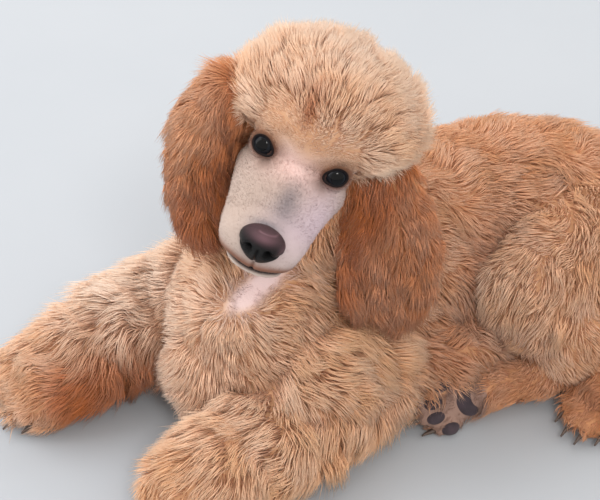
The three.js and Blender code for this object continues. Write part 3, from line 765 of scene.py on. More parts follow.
def markings(places, parts):
    """Shares of the coat's colours at places on the dog, for its skin and its coat alike.

    The first four are orange, pale, grey and face, and the others the face's rose, lilac, brown and dark.
    The brown is mostly painted shade round the eyes and above the mouth, the grey partly painted shade above
    the nose and between the pads, and some orange and pale is painted shade and light on the near side and
    the right foreleg.
    """
    head = to_head(places)
    part = np.array(PARTS)[parts]
    brow = over_brow(head)
    on_head = np.isin(part, ["head", "topknot"])
    on_face = smoothstep((4 - brow) / 10) * smoothstep((44 - head[:, 1]) / 8) * on_head
    clipped = throat(places) * np.isin(part, ["neck", "torso"])
    parting = spot(head, (-4, -4, 39), (4.5, 24, 11)) * (part == "topknot")
    # Deeper orange on the lower side of the right foreleg, over its paw, is painted shade.
    wrist = np.minimum(1.5 * spot(places, (-76, -144, 36), (36, 52, 30)), 1)
    orange = orange_fur(places, head, part) + parting + wrist
    pale = pale_fur(places, head, part)
    # Pale on top of the right foreleg: partly its paler fur, partly painted light where the light falls on
    # it.
    pale += 0.7 * spot(places, (-110, -100, 100), (64, 80, 46)) * (1 - wrist)
    pale *= 1 - parting
    grey_and_shade = spotted("grey_and_shade", HEAD_SPOTS, head, part)
    # Round the pads the soles are grey: partly their darker skin, partly painted shade between the pads.
    for foot in FEET:
        grey_and_shade += 0.6 * (~off_pads(foot, places, PADS_GREY_AND_SHADE) & (part == foot))
    rose = spotted("rose", HEAD_SPOTS, head, part) + 0.25 + 0.6 * clipped
    lilac = spotted("lilac", HEAD_SPOTS, head, part) + 0.35 * clipped
    edge = np.maximum(eyes_clear(head), 0)
    above = over_lips(head)
    jaws = smoothstep((-4 - head[:, 1]) / 14)
    # Brown is painted shade round the eyes, with the brownish hair below the border of the topknot.
    brown_and_shade = 0.95 * hump(edge, 5.2) + 0.3 * smoothstep((brow + 12) / 12)
    # A band of painted shade above the line of the mouth.
    brown_and_shade += jaws * hump(np.maximum(above - 4, 0), 3.6) * (above > 0)
    dark = (jaws * hump(above - 0.5, 1 + 1.2 * jaws, 4) + hump(edge, 2.2)) * on_face
    white = 0.28 * jaws * hump(above + 4, 1.4) * on_face * smoothstep((14 - head[:, 0]) / 10)
    coat = [orange, np.maximum(pale, white), grey_and_shade, np.maximum(on_face, clipped)]
    tinges = [rose * (1 - white), lilac * (1 - white), brown_and_shade * (1 - white), dark]
    return np.clip(np.stack(coat + tinges, axis=1), 0, 1)


# Coat

PATCH = 0.003
COAT_SEED = 11
PIECE_TRIANGLES = 190000
RINGS = 2
RING_ANGLES = np.radians((90, 210, 330))
STRAND_TRIANGLES = 6 * RINGS - 2
FLAT_HIGH = 0.14
ROOT_SUNK = 1.0
STRAND_GAP = 0.4
# The degrees by which the lie wanders over the body, swings from tuft to tuft and differs from hair to hair.
DRIFT = 22
SWING = 11
STRAY = 8
# The degrees by which the rise from the skin wanders over the body, and differs from hair to hair.
LIFT_DRIFT = 6
LIFT_STRAY = 5
# The share of hairs that stay loose from their tuft, and how much longer they are.
LOOSE = 0.1
LOOSE_LONGER = 1.12

# For each kind of part: strands in a square centimetre, length, the angles at which they leave the skin and
# end, radius at the root, spacing and pull of the tufts, size of the waves, and how far the lie wanders.
Kind = namedtuple("Kind", "dense long lift end thick apart pull wave swirl")
KINDS = {
    "topknot": Kind(98, 15, 56, 28, 0.36, 9, 0.2, 0.8, 0.6),
    "head": Kind(80, 2.4, 24, 8, 0.14, 3, 0.05, 0, 0.3),
    "ear": Kind(66, 21, 28, 4, 0.42, 9, 0.3, 1.6, 0.6),
    "neck": Kind(38, 20, 40, 10, 0.52, 13, 0.3, 1.6, 1),
    "torso": Kind(30, 17, 38, 10, 0.55, 13, 0.3, 1.3, 1),
    "thigh": Kind(31, 17, 38, 10, 0.55, 13, 0.3, 1.3, 1),
    "foreleg": Kind(38, 24, 46, 14, 0.52, 13, 0.3, 2.0, 1),
    "forepaw": Kind(32, 22, 40, 10, 0.52, 12, 0.3, 1.5, 0.8),
    "shank": Kind(30, 14, 38, 10, 0.5, 11, 0.3, 1.0, 0.8),
    "hind": Kind(38, 13, 36, 8, 0.48, 9, 0.3, 0.8, 0.6),
    "tail": Kind(30, 16, 42, 12, 0.52, 11, 0.3, 1.2, 0.8),
}


def kind_of(part):
    return KINDS[part.split("_")[0]]


class Skin:
    """The finished skin as arrays: places, normals, corners, unwrap, parts, lies and markings."""

    def __init__(self, piece):
        mesh = piece.data
        mesh.calc_loop_triangles()
        self.places = coordinates(piece)
        self.normals = read(mesh.vertices, "normal")
        self.corners = read(mesh.loop_triangles, "vertices", 3, int)
        loops = read(mesh.loop_triangles, "loops", 3, int)
        self.unwrap = read(mesh.uv_layers.active.data, "uv", 2)[loops]
        self.parts, self.lies = body_field(self.places)
        self.lie_on_head()
        self.lie_on_chest()
        self.marks = markings(self.places, self.parts)
        a, b, c = [self.places[self.corners[:, i]] for i in range(3)]
        self.areas = 0.5 * np.linalg.norm(np.cross(b - a, c - a), axis=1)

    def among(self, *parts):
        """Whether each vertex is on one of the parts."""
        return np.isin(self.parts, [PARTS.index(part) for part in parts])

    def lie_on_head(self):
        """The topknot spreads from its crown, the face's fur lies back from the nose."""
        head = to_head(self.places)
        on_head = self.among("head", "topknot")
        crown = on_head & (over_brow(head) > 0)
        face = on_head & ~crown
        self.parts[crown] = PARTS.index("topknot")
        self.parts[face] = PARTS.index("head")
        spread = head - (2, -24, 12)
        self.lies[crown] = unit(spread[crown]) @ HEAD_TURN.T
        backward = np.stack([head[:, 0] * 0.012, np.ones(len(head)), 0.15 + head[:, 2] * 0.004], axis=1)
        self.lies[face] = unit(backward[face]) @ HEAD_TURN.T

    def lie_on_chest(self):
        """The coat of the chest spreads from the throat."""
        away = self.places - CHEST_CROWN
        share = hump(np.linalg.norm(away, axis=1), 75)
        share *= self.among("neck", "torso", "foreleg_left", "foreleg_right")
        self.lies = unit(self.lies * (1 - share)[:, None] + unit(away) * (share * 1.6)[:, None])


def scattered(skin, part, rng):
    """Roots spread evenly over a part of the skin: their triangles and the shares of the corners."""
    of_part = (skin.parts[skin.corners] == PARTS.index(part)).mean(axis=1)
    middle = skin.places[skin.corners].mean(axis=1)
    facing = skin.normals[skin.corners].mean(axis=1)[:, 2]
    under = (middle[:, 2] < 34) & (facing < -0.55)
    hidden = (middle[:, 2] < 14) & (facing < -0.5)
    weight = skin.areas * of_part * np.where(hidden, 0.1, np.where(under, 0.5, 1.0))
    if part in ("neck", "torso"):
        weight *= 1 + 1.5 * hump(np.linalg.norm(middle - CHEST_CROWN, axis=1), 24)
    total = np.cumsum(weight)
    count = int(total[-1] * kind_of(part).dense / 100)
    marks = (np.arange(count) + rng.random(count)) / count * total[-1]
    triangles = np.searchsorted(total, marks).clip(0, len(total) - 1)
    u, v = rng.random(count), rng.random(count)
    over = u + v > 1
    u[over], v[over] = 1 - u[over], 1 - v[over]
    return triangles, np.stack([1 - u - v, u, v], axis=1)


def blended(values, corners, shares):
    """Values at places inside triangles, from those at their corners."""
    return (values[corners] * shares[:, :, None]).sum(axis=1)


def off_pads(foot, places, wide):
    """Whether each place is off the pads of a foot, made wider by a share."""
    local = moved_by(FEET[foot].inverted(), places)
    off = np.ones(len(places), bool)
    for centre, radii in PADS:
        off &= np.linalg.norm((local - centre) / (np.array(radii) * wide), axis=1) > 1
    return off


def hairy(part, places):
    """Whether hair grows at each place: off the pads, the eyes, the nose and the line of the mouth."""
    if part in FEET:
        return off_pads(part, places, PADS_BARE)
    if part not in ("head", "topknot"):
        return np.ones(len(places), bool)
    head = to_head(places)
    off_nose = np.linalg.norm((head - NOSE) / NOSE_BARE, axis=1) > 1
    off_lips = (np.abs(over_lips(head) - 0.5) > 2.4) | (head[:, 1] > 4)
    return (eyes_clear(head) > 1.2) & off_nose & off_lips


def beside_face(head):
    """1 at the temples and beside the ears, 0 over the brow."""
    return smoothstep((np.abs(head[:, 0]) - 29) / 8)


def reach(part, places, rng):
    """Length of each strand of a part."""
    head = to_head(places)
    length = np.full(len(places), float(kind_of(part).long))
    if part == "topknot":
        least = 4.5 + 9 * beside_face(head)
        length = least + (length - least) * smoothstep(over_brow(head) / 24)
    if part == "head":
        length += 12 * smoothstep((head[:, 1] - 14) / 22)
        length *= np.where(head[:, 1] < -52, 0.6, 1.0)
    if part.startswith("ear"):
        line = EARS[LEFT if part.endswith("left") else RIGHT]["line"]
        down = (line[0][2] - places[:, 2]) / (line[0][2] - line[-1][2])
        length *= 0.75 + 0.5 * smoothstep(down)
    if part in ("neck", "torso"):
        length *= 1 - 0.93 * throat(places)
    if part in FEET:
        toes = smoothstep((-6 - moved_by(FEET[part].inverted(), places)[:, 1]) / 22)
        length *= 1 - 0.35 * toes
        length[~off_pads(part, places, PADS_SHORT)] *= 0.45
    return length * (1 + 0.12 * rng.standard_normal(len(places)).clip(-2, 2))


def centrelines(roots, normals, lies, lengths, lift, end):
    """Points along each strand, which leaves the skin at one angle and bends over to another."""
    points = [roots]
    for i in range(RINGS):
        angle = np.radians(lift + (end - lift) * (i + 0.5) / RINGS)
        way = lies * np.cos(angle)[:, None] + normals * np.sin(angle)[:, None]
        points.append(points[-1] + way * (lengths / RINGS)[:, None])
    return np.stack(points, axis=1)


def strand_faces():
    """One strand's faces: the corners in a row, how many each face has, and their places on its patch."""
    faces = []
    spots = []
    for r in range(RINGS - 1):
        low, high = r / RINGS, (r + 1) / RINGS
        for j in range(3):
            k = (j + 1) % 3
            faces.append((3 * r + j, 3 * r + k, 3 * r + 3 + k, 3 * r + 3 + j))
            spots.append(((j / 3, low), ((j + 1) / 3, low), ((j + 1) / 3, high), (j / 3, high)))
    last = 3 * (RINGS - 1)
    low = (RINGS - 1) / RINGS
    for j in range(3):
        faces.append((last + j, last + (j + 1) % 3, 3 * RINGS))
        spots.append(((j / 3, low), ((j + 1) / 3, low), ((j + 0.5) / 3, 1)))
    faces.append((2, 1, 0))
    spots.append(((0.6, 0), (0.3, 0), (0, 0)))
    return np.concatenate(faces), np.array([len(face) for face in faces]), np.concatenate(spots)


def put_attribute(mesh, name, values):
    """Gives each vertex a number, or a colour where there are four."""
    kind, key = ("FLOAT", "value") if values.ndim == 1 else ("FLOAT_COLOR", "color")
    made = mesh.attributes.new(name, kind, "POINT")
    made.data.foreach_set(key, values.astype(np.float32).ravel())


def put_colouring(mesh, marks, tone):
    put_attribute(mesh, "markings", marks[:, :4])
    put_attribute(mesh, "tinges", marks[:, 4:])
    put_attribute(mesh, "tone", tone)


def strand_piece(name, lines, normals, thick, unwrap, marks, tone):
    """Low three-sided tapered wisps joined in one mesh, with the unwrap of their roots."""
    count = len(lines)
    run = unit(np.gradient(lines, axis=1))
    across = unit(np.cross(run, normals[:, None, :]))
    over = np.cross(across, run)
    share = np.arange(RINGS) / RINGS
    taper = (1 - share**1.6) * 0.9 + 0.1
    wide = (thick[:, None] * taper[None, :])[..., None]
    high = np.minimum(wide, FLAT_HIGH + 0.25 * wide)
    ring = [
        lines[:, :RINGS] + across[:, :RINGS] * math.cos(a) * wide + over[:, :RINGS] * math.sin(a) * high
        for a in RING_ANGLES
    ]
    body = np.stack(ring, axis=2).reshape(count, RINGS * 3, 3)
    points = np.concatenate([body, lines[:, -1:]], axis=1)
    points[:, :, 2] = np.maximum(points[:, :, 2], STRAND_GAP + 0.1 * np.arange(count)[:, None] % 1)
    each = points.shape[1]
    pattern, sizes, spots = strand_faces()
    corners = (np.arange(count)[:, None] * each + pattern[None, :]).ravel()
    piece = mesh_of(name, points.reshape(-1, 3), corners, np.tile(sizes, count))
    mesh = piece.data
    mesh.polygons.foreach_set("use_smooth", np.ones(len(mesh.polygons), bool))
    layer = mesh.uv_layers.new(name="OFBake")
    spread = unwrap[:, None, :] + (spots[None] - 0.5) * PATCH
    layer.data.foreach_set("uv", spread.reshape(-1, 2).astype(np.float32).ravel())
    put_attribute(mesh, "along", np.tile(np.append(np.repeat(share, 3), 1.0), count))
    put_colouring(mesh, np.repeat(marks, each, axis=0), np.repeat(tone, each))
    return piece


def swirl(places, wide, seed):
    """A smooth random value about 0 at each place, with waves about as long as given."""
    rng = np.random.default_rng(seed)
    found = np.zeros(len(places))
    for _ in range(6):
        way = unit(rng.standard_normal(3)) * 2 * np.pi / (wide * (0.7 + 0.8 * rng.random()))
        found += np.sin(places @ way + 2 * np.pi * rng.random())
    return found / math.sqrt(3)


def nearest_guides(roots, guides):
    """Which of the guides, by number, is nearest to each root."""
    tree = KDTree(len(guides))
    for i, guide in enumerate(guides):
        tree.insert(roots[guide], i)
    tree.balance()
    return np.array([tree.find(root)[1] for root in roots])


def turned(vectors, axes, angles):
    """Vectors turned about axes at right angles to them."""
    return vectors * np.cos(angles)[:, None] + np.cross(axes, vectors) * np.sin(angles)[:, None]


def coat_pieces(skin, part):
    """The coat of one part: strands drawn together in tufts, with waves that each tuft shares."""
    kind = kind_of(part)
    rng = np.random.default_rng(COAT_SEED + PARTS.index(part))
    triangles, shares = scattered(skin, part, rng)
    corners = skin.corners[triangles]
    roots = blended(skin.places, corners, shares)
    normals = unit(blended(skin.normals, corners, shares))
    lies = blended(skin.lies, corners, shares)
    lies = unit(lies - normals * (lies * normals).sum(axis=1, keepdims=True))
    marks = blended(skin.marks, corners, shares)
    unwrap = blended(skin.unwrap.reshape(-1, 2), triangles[:, None] * 3 + np.arange(3), shares)
    keep = hairy(part, roots)
    roots, normals, lies, marks, unwrap = [v[keep] for v in (roots, normals, lies, marks, unwrap)]
    head = to_head(roots)
    count = len(roots)
    tufts = max(4, int(count / (kind.dense / 100) / kind.apart**2))
    guides = rng.choice(count, tufts, replace=False)
    mine = nearest_guides(roots, guides)
    swing = np.radians(SWING) * rng.standard_normal(tufts).clip(-1.6, 1.6)
    swell = 1 + 0.16 * rng.standard_normal(tufts).clip(-1.5, 1.5)
    drift = np.radians(DRIFT) * swirl(roots, 48, 3) * kind.swirl
    stray = np.radians(STRAY) * rng.standard_normal(count)
    lies = turned(lies, normals, drift + swing[mine] + stray)
    lengths = reach(part, roots, rng) * swell[mine]
    loose = rng.random(count) < LOOSE
    lengths[loose] *= LOOSE_LONGER
    lift = kind.lift + LIFT_DRIFT * kind.swirl * swirl(roots, 26, 5)
    lift += LIFT_STRAY * rng.standard_normal(count)
    end = kind.end + LIFT_STRAY * rng.standard_normal(count)
    if part == "topknot":
        lift *= 0.3 + 0.7 * np.maximum(beside_face(head), smoothstep(over_brow(head) / 24))
    lines = centrelines(roots, normals, lies, lengths, lift, end)
    steps = np.linspace(0, 1, RINGS + 1)
    pull = kind.pull * (0.75 + 0.35 * rng.random(count)) * np.where(loose, 0.2, 1.0)
    lines += (lines[guides[mine]] - lines) * (pull[:, None] * steps**1.3)[..., None]
    start = (rng.random(tufts) * 2 * np.pi)[mine][:, None]
    turns = (0.7 + 0.5 * rng.random(tufts))[mine][:, None]
    for wave, way, size in ((np.sin, np.cross(normals, lies), 1.0), (np.cos, normals, 0.5)):
        swayed = wave(start + 2 * np.pi * turns * steps) - wave(start)
        lines += way[:, None, :] * (size * kind.wave * swayed * steps**0.5)[..., None]
    fine = rng.random(count) ** 1.3
    thick = kind.thick * (1.35 - 0.95 * fine) * np.where(loose, 0.5, 1.0)
    thick *= np.minimum(0.3 + 0.9 * lengths / kind.long, 1)
    tufted = 0.1 * rng.standard_normal(tufts)[mine]
    tone = 0.5 + 0.1 * rng.standard_normal(count) + tufted + 0.14 * swirl(roots, 30, 7)
    lines[:, 0] -= normals * ROOT_SUNK
    whole = (lines, normals, thick, unwrap, marks, np.clip(tone, 0, 1))
    pieces = -(-count * STRAND_TRIANGLES // PIECE_TRIANGLES)
    made = []
    for i, some in enumerate(np.array_split(np.argsort(roots[:, 1]), pieces)):
        name = "coat_" + part + ("_" + str(i + 1) if pieces > 1 else "")
        made.append(strand_piece(name, *[values[some] for values in whole]))
    return made


# Materials


class Finish:
    """A node material under construction, with values for the shader's own sockets."""

    def __init__(self, name, **sockets):
        self.material = bpy.data.materials.new(name)
        self.material.use_nodes = True
        self.tree = self.material.node_tree
        self.shader = self.tree.nodes["Principled BSDF"]
        for socket, value in sockets.items():
            socket = socket.replace("_", " ").title().replace("Ior", "IOR")
            self.shader.inputs[socket].default_value = value

    def node(self, kind, inputs=None, **settings):
        made = self.tree.nodes.new(kind)
        for key, value in settings.items():
            setattr(made, key, value)
        for socket, value in (inputs or {}).items():
            if isinstance(value, bpy.types.NodeSocket):
                self.tree.links.new(value, made.inputs[socket])
            else:
                made.inputs[socket].default_value = value
        return made

    def attribute(self, name, output="Fac"):
        return self.node("ShaderNodeAttribute", attribute_name=name).outputs[output]

    def mixed(self, share, a, b):
        return self.node("ShaderNodeMix", {0: share, 6: a, 7: b}, data_type="RGBA").outputs[2]

    def maths(self, operation, a, b):
        return self.node("ShaderNodeMath", {0: a, 1: b}, operation=operation).outputs[0]

    def ramp(self, share, stops):
        made = self.node("ShaderNodeValToRGB", {0: share})
        elements = made.color_ramp.elements
        for i, (place, colour) in enumerate(stops):
            element = elements[i] if i < 2 else elements.new(place)
            element.position = place
            element.color = colour
        return made.outputs[0]

    def noise(self, scale, detail=4.0, stretch=(1, 1, 1)):
        place = self.node("ShaderNodeTexCoord").outputs["Object"]
        mapped = self.node("ShaderNodeMapping", {"Vector": place, "Scale": stretch}).outputs[0]
        inputs = {"Vector": mapped, "Scale": scale, "Detail": detail}
        return self.node("ShaderNodeTexNoise", inputs).outputs[0]

    def cells(self, scale, feature="F1"):
        return self.node("ShaderNodeTexVoronoi", {"Scale": scale}, feature=feature).outputs["Distance"]

    def colour(self, value):
        self.tree.links.new(value, self.shader.inputs["Base Color"])

    def speckled(self, speckles, dark, light):
        self.colour(self.mixed(speckles, tint(dark), tint(light)))

    def bump(self, height, distance, strength=1.0):
        made = self.node("ShaderNodeBump", {"Height": height, "Distance": distance, "Strength": strength})
        self.tree.links.new(made.outputs[0], self.shader.inputs["Normal"])


def tint(hexed):
    """A colour written as in a paint chart, as linear light."""
    channels = [int(hexed[i : i + 2], 16) / 255 for i in (0, 2, 4)]
    return (*[c / 12.92 if c <= 0.04045 else ((c + 0.055) / 1.055) ** 2.4 for c in channels], 1.0)


def tints(*stops):
    return [(place, tint(hexed)) for place, hexed in stops]


APRICOT = tint("f8cca0")
PALE_APRICOT = tint("f4e4dc")
ORANGE = tint("bc6a32")
DEEP_ORANGE = tint("d0824a")
# The skin under the coat is painted this darker colour, as painted shade in the depth of the coat.
UNDERCOAT_SHADE = tint("b8845a")
WHITE = tint("faeee2")
CREAM = tint("9e958a")
ROSE = tint("ebcac4")
LILAC = tint("cab9c4")
# Slate grey for the bridge of the nose, and for painted shade above the nose and between the pads.
SLATE_AND_SHADE = tint("666670")
# Brown for painted shade round the eyes and above the mouth, and for the hair below the topknot.
BROWN_AND_SHADE = tint("7e5646")
BLACK_BROWN = tint("1c1012")
# How far the colour of hairs fades to pale, at the most, and how much less where the fur is orange.
FADE = 0.45
FADE_LESS = 0.32


def coat_colour(finish, root_and_shade_share, root_and_shade_colour):
    """The colour of the coat from its markings and tone, darker and redder towards the roots: partly the
    hair's own colour, partly painted shade in the depth of the coat.
    """
    marks = finish.node("ShaderNodeSeparateColor", {0: finish.attribute("markings", "Color")}).outputs
    tinges = finish.node("ShaderNodeSeparateColor", {0: finish.attribute("tinges", "Color")}).outputs
    base = finish.mixed(marks[0], APRICOT, ORANGE)
    fading = finish.maths("SUBTRACT", FADE, finish.maths("MULTIPLY", marks[0], FADE_LESS))
    base = finish.mixed(finish.maths("MULTIPLY", finish.attribute("tone"), fading), base, PALE_APRICOT)
    base = finish.mixed(marks[1], base, WHITE)
    base = finish.mixed(root_and_shade_share, base, root_and_shade_colour)
    face = finish.mixed(tinges[0], CREAM, ROSE)
    face = finish.mixed(tinges[1], face, LILAC)
    face = finish.mixed(marks[1], face, WHITE)
    face = finish.mixed(tinges[2], face, BROWN_AND_SHADE)
    base = finish.mixed(finish.attribute("markings", "Alpha"), base, face)
    base = finish.mixed(marks[2], base, SLATE_AND_SHADE)
    return finish.mixed(finish.attribute("tinges", "Alpha"), base, BLACK_BROWN)


def coat_finish():
    sheen = {"sheen_weight": 0.15, "sheen_roughness": 0.5, "sheen_tint": PALE_APRICOT}
    finish = Finish("apricot coat", roughness=0.85, specular_ior_level=0.15, **sheen)
    # Towards the roots the colour is mixed with deep orange: partly the hair's own colour, partly painted
    # shade in the depth of the coat.
    root = finish.ramp(finish.attribute("along"), [(0.0, (0.55, 0.55, 0.55, 1)), (0.75, (0, 0, 0, 1))])
    finish.colour(coat_colour(finish, root, DEEP_ORANGE))
    return finish.material


def skin_finish():
    sheen = {"sheen_weight": 0.2, "sheen_tint": CREAM}
    finish = Finish("skin and short fur", roughness=0.75, specular_ior_level=0.2, **sheen)
    # Under the coat the skin is mostly the darker undercoat colour: painted shade in the depth of the coat.
    finish.colour(coat_colour(finish, 0.7, UNDERCOAT_SHADE))
    finish.bump(finish.noise(900, 3.0), 0.0005, 0.5)
    return finish.material


def leather_finish():
    finish = Finish("nose leather", roughness=0.45, specular_ior_level=0.3)
    colour = finish.mixed(finish.noise(160), tint("08080a"), tint("151316"))
    # From black leather to the pink worn patch, and on to pale for the painted highlight along the upper
    # edge.
    stops = tints((0.0, "060608"), (0.85, "8e6872"), (1.0, "b8a8aa"))
    finish.colour(finish.mixed(0.85, colour, finish.ramp(finish.attribute("worn_and_highlight"), stops)))
    finish.bump(finish.cells(620, "DISTANCE_TO_EDGE"), 0.0008)
    return finish.material


def eye_finish():
    finish = Finish("eye", roughness=0.05, specular_ior_level=0.0, coat_weight=0.35, coat_roughness=0.02)
    pupil = [(0.0, "040507"), (0.34, "07080b")]
    iris = [(0.42, "14181e"), (0.6, "10151b"), (0.74, "08080a")]
    finish.colour(finish.ramp(finish.attribute("ring"), tints(*pupil, *iris, (0.9, "9a8f8c"))))
    return finish.material


def rim_finish():
    finish = Finish("lid rim", roughness=0.6, specular_ior_level=0.15)
    finish.speckled(finish.noise(300), "0b0708", "1a1012")
    return finish.material


def claw_finish():
    finish = Finish("claw horn", roughness=0.4)
    streaks = finish.noise(300, 3.0, (1, 1, 4))
    finish.speckled(streaks, "2a2320", "6a584e")
    finish.bump(streaks, 0.0002, 0.5)
    return finish.material


def pad_finish():
    finish = Finish("pad leather", roughness=0.6)
    finish.speckled(finish.noise(120), "2f2a31", "6b5a64")
    finish.bump(finish.cells(700), 0.0006, 0.9)
    return finish.material


# Small pieces

CORNEA = 0.9
EYE_SHARE = 0.985
RIM_SEGMENTS = 64
RIM_RADIUS = 0.85
TORUS_RADIUS = 0.1
CLAW_LENGTH = 12.0
CLAW_RADIUS = 2.8
CLAW_TIP = 0.9
CLAW_DROP = 3.2
PAD_GAP = 0.3


def own(piece, finish, slot, *nodes):
    """Gives a piece its finish, and its place on the body in place of the nodes. The slot is not used."""
    piece.data.materials.clear()
    piece.data.materials.append(finish)
    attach(piece, "root")
    if nodes:
        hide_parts(*nodes)
    return piece


def ball(name, segments=48, rings=32):
    """A unit ball at the origin, poles along Y, as a piece and its places."""
    deselect()
    turn = (math.pi / 2, 0, 0)
    bpy.ops.mesh.primitive_uv_sphere_add(segments=segments, ring_count=rings, radius=1, rotation=turn)
    piece = bpy.context.object
    piece.name = name
    bpy.ops.object.transform_apply(location=True, rotation=True, scale=True)
    bpy.ops.object.shade_smooth()
    return piece, read(piece.data.vertices, "co")


def eyeball(side, finish):
    """An eyeball with its cornea, and how far each place is from the middle of the iris."""
    piece, places = ball("eyeball_" + SIDE_NAMES[side])
    centre, look, _, _ = eye_frame(side)
    ring = np.degrees(np.arccos((places @ look).clip(-1, 1))) / 60
    cornea = CORNEA * smoothstep((0.72 - ring) / 0.4)
    shape(piece, from_head(centre + places * (EYE_RADIUS + cornea)[:, None] * EYE_SHARE))
    put_attribute(piece.data, "ring", ring)
    return own(piece, finish, "eye", "eye_" + SIDE_NAMES[side])


def lid_rim(side, finish):
    """A dark rim along the edge of the lids, thicker at the inner corner."""
    deselect()
    bpy.ops.mesh.primitive_torus_add(
        major_segments=RIM_SEGMENTS, minor_segments=10, major_radius=1, minor_radius=TORUS_RADIUS
    )
    piece = bpy.context.object
    piece.name = "lid_rim_" + SIDE_NAMES[side]
    bpy.ops.object.shade_smooth()
    x, y, z = read(piece.data.vertices, "co").T
    turn = np.arctan2(y, x)
    ring = np.hypot(x, y) - 1
    centre, look, outer, rise = eye_frame(side)
    power = 2 / LID_POINTED
    high = np.where(np.sin(turn) > 0, LID_UPPER, LID_LOWER)
    across = LID_WIDE * np.sign(np.cos(turn)) * np.abs(np.cos(turn)) ** power
    over = high * np.sign(np.sin(turn)) * np.abs(np.sin(turn)) ** power
    inner = smoothstep((-across - 3) / 4)
    across -= 1.2 * inner
    depth = np.sqrt(np.maximum((EYE_RADIUS + 0.35) ** 2 - across**2 - over**2, 4))
    edge = centre + np.outer(across, outer) + np.outer(over, rise) + np.outer(depth, look)
    out = unit(edge - centre)
    wide = unit(np.outer(across / LID_WIDE, outer) + np.outer(over / high, rise))
    fat = RIM_RADIUS * (1 + 0.7 * inner) / TORUS_RADIUS
    made = edge + wide * (ring * fat)[:, None] + out * (z * fat)[:, None]
    shape(piece, from_head(made))
    return own(piece, finish, "nose_skin")


def nose_piece(finish):
    """Nose leather: broad on top, with comma-shaped nostrils under their wings and a groove between."""
    piece, places = ball("nose_leather", 128, 96)
    x, y, z = places.T
    made = places * NOSE_RADII
    made[:, 0] *= 1 + 0.10 * smoothstep((z + 0.3) / 0.9) - 0.13 * smoothstep((-z - 0.1) / 0.8)
    front = smoothstep((-y - 0.1) / 0.5)
    made[:, 1] -= front * (1 - np.abs(x) ** 2)
    out = unit(places / NOSE_RADII)
    for side in (LEFT, RIGHT):
        hole = ((made[:, 0] - side * 6.8) / 2.6) ** 2 + ((made[:, 2] + 1.1) / 2.9) ** 2
        made -= out * (5.5 * np.exp(-(hole**1.5)) * front)[:, None]
        slit = np.array([(side * 6.5, 0, -1.5), (side * 10.5, 0, -3.4), (side * 14, 0, -2.2)], float)
        away, nearest = distance_to_line(made * (1, 0, 1), slit)
        made -= out * (2.6 * hump(away, 1.2) * smoothstep((0.3 - y) / 0.6))[:, None]
        wing = ((made[:, 0] - side * 9.8) / 3.2) ** 2 + ((made[:, 2] - 2.2) / 3.0) ** 2
        made += out * (1.3 * np.exp(-wing) * front)[:, None]
    groove = hump(made[:, 0], 0.9) * smoothstep((2 - made[:, 2]) / 3) * front
    made -= out * (1.3 * groove)[:, None]
    upper = ((x - 0.05) / 0.5) ** 2 + ((z - 0.7) / 0.24) ** 2
    wing = ((x - 0.9) / 0.16) ** 2 + ((z - 0.3) / 0.3) ** 2
    worn_and_highlight = 0.6 * np.exp(-upper) * smoothstep((0.4 - y) / 0.5) + 0.45 * np.exp(-wing)
    # The upper half is a little paler: partly pinker leather, partly painted sheen of its wet top.
    worn_and_highlight += 0.2 * smoothstep((z - 0.2) / 0.5)
    # A pale line along the upper edge is a painted highlight.
    line = hump(z - 0.86, 0.05) * smoothstep((0.5 - np.abs(x - 0.1)) / 0.2) * (y < 0.2)
    shape(piece, from_head(made + NOSE))
    put_attribute(piece.data, "worn_and_highlight", np.maximum(worn_and_highlight, 0.9 * line))
    return own(piece, finish, "nose_skin", "nose")


def claw_pieces(foot, finish):
    """Four claws of a foot, each a cone that leaves its toe along -Y and curves down."""
    for i, toe in enumerate(TOES):
        deselect()
        bpy.ops.mesh.primitive_cone_add(
            vertices=16, radius1=CLAW_RADIUS, radius2=CLAW_TIP, depth=CLAW_LENGTH, location=(0, 0, 0)
        )
        piece = bpy.context.object
        cuts = {"number_cuts": 4}
        edited(piece, (bpy.ops.mesh.select_all, {"action": "SELECT"}), (bpy.ops.mesh.subdivide, cuts))
        bpy.ops.object.shade_smooth()
        x, y, z = read(piece.data.vertices, "co").T
        out = z / CLAW_LENGTH + 0.5
        local = np.stack([x * 0.8, -z, y - CLAW_DROP * out**2], axis=1)
        local += toe_place(toe) + (0, -0.62 * TOE_PITCH, 0.02 * TOE_PITCH)
        shape(piece, moved_by(FEET[foot], local))
        name = foot.replace("hind_paw", "hind_claw").replace("forepaw", "foreclaw") + "_" + str(i + 1)
        piece.name = "horn_" + name
        own(piece, finish, "claw", name)


def pad_piece(foot, finish):
    """The pads under a foot: a large three-lobed one and one under each toe."""
    pads = []
    for centre, radii in PADS:
        piece, places = ball("pad", 40, 28)
        if not pads:
            places[:, 1] += 0.30 * np.abs(places[:, 0]) ** 1.6
            places[:, 1] -= 0.18
        made = moved_by(FEET[foot], places * radii + centre)
        made[:, 2] = np.maximum(made[:, 2], PAD_GAP)
        shape(piece, made)
        pads.append(piece)
    deselect()
    for piece in pads:
        piece.select_set(True)
    bpy.context.view_layer.objects.active = pads[0]
    bpy.ops.object.join()
    pads[0].name = "pads_" + foot
    return own(pads[0], finish, "nose_skin")


# Studio

CAMERA_PLACE = (594.8, -615.8, 844.0)
CAMERA_LOOK = (-math.sin(math.radians(45)), math.cos(math.radians(45)), -math.tan(math.radians(40)))
LAMPS_AIM = (20, 0, 120)
# Name, place, energy, size and colour of each lamp.
LAMPS = [
    ("key", (1500, -900, 1900), 16, 0.5, (1.0, 0.97, 0.93)),
    ("window", (-1500, -1100, 1500), 34, 2.2, (0.98, 0.98, 1.0)),
    ("back", (-300, 1800, 1700), 14, 1.6, (1, 1, 1)),
]
WORLD_COLOUR = (1.0, 0.94, 0.88, 1)
WORLD_STRENGTH = 1.12


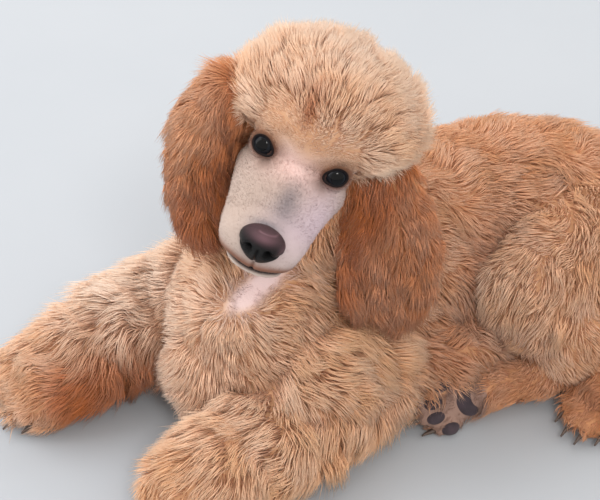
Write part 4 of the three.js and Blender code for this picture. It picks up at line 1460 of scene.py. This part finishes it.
def aimed(name, data, place, way):
    """A camera or a lamp at a place in the dog's frame, looking along a way."""
    made = linked(name, data)
    made.location = placed(place)
    made.rotation_mode = "QUATERNION"
    made.rotation_quaternion = Vector(way).to_track_quat("-Z", "Y")
    return made


def camera():
    """A long lens, looking down at the dog from its front and left."""
    lens = bpy.data.cameras.new("camera")
    lens.lens = 90
    lens.sensor_width = 36
    bpy.context.scene.camera = aimed("camera", lens, CAMERA_PLACE, CAMERA_LOOK)


def studio():
    """A pale floor, a bright world and soft lamps."""
    deselect()
    bpy.ops.mesh.primitive_plane_add(size=12, location=(0, 0, 0))
    floor = bpy.context.object
    floor.name = "floor"
    finish = Finish("pale floor", roughness=0.9)
    finish.speckled(finish.noise(3), "a9b0b8", "b4bac1")
    floor.data.materials.append(finish.material)
    world = bpy.data.worlds.new("studio")
    bpy.context.scene.world = world
    world.use_nodes = True
    background = world.node_tree.nodes["Background"]
    background.inputs["Color"].default_value = WORLD_COLOUR
    background.inputs["Strength"].default_value = WORLD_STRENGTH
    for name, place, energy, size, colour in LAMPS:
        light = bpy.data.lights.new(name, "AREA")
        light.energy = energy
        light.size = size
        light.color = colour
        aimed(name, light, place, Vector(placed(LAMPS_AIM)) - Vector(placed(place)))


FLESH = ["head", "torso", "neck", "tail"] + [
    part + "_" + side
    for part in ("ear", "foreleg", "forepaw", "thigh", "shank", "hind_paw")
    for side in ("left", "right")
]
SLOTS = {"topknot": "coat", "head": "head_coat", "ear_left": "ear_coat", "ear_right": "ear_coat"}

bpy.context.scene.view_settings.view_transform = "Standard"
studio()
camera()
skin = skin_piece()
arrays = Skin(skin)
put_colouring(skin.data, arrays.marks, np.full(len(arrays.places), 0.5))
own(skin, skin_finish(), "coat", *FLESH)
wool = coat_finish()
for part in PARTS:
    for piece in coat_pieces(arrays, part):
        own(piece, wool, SLOTS.get(part, "coat"))
wet = eye_finish()
rim = rim_finish()
for side in (LEFT, RIGHT):
    eyeball(side, wet)
    lid_rim(side, rim)
nose_piece(leather_finish())
horn = claw_finish()
pads = pad_finish()
for foot in FEET:
    claw_pieces(foot, horn)
    pad_piece(foot, pads)
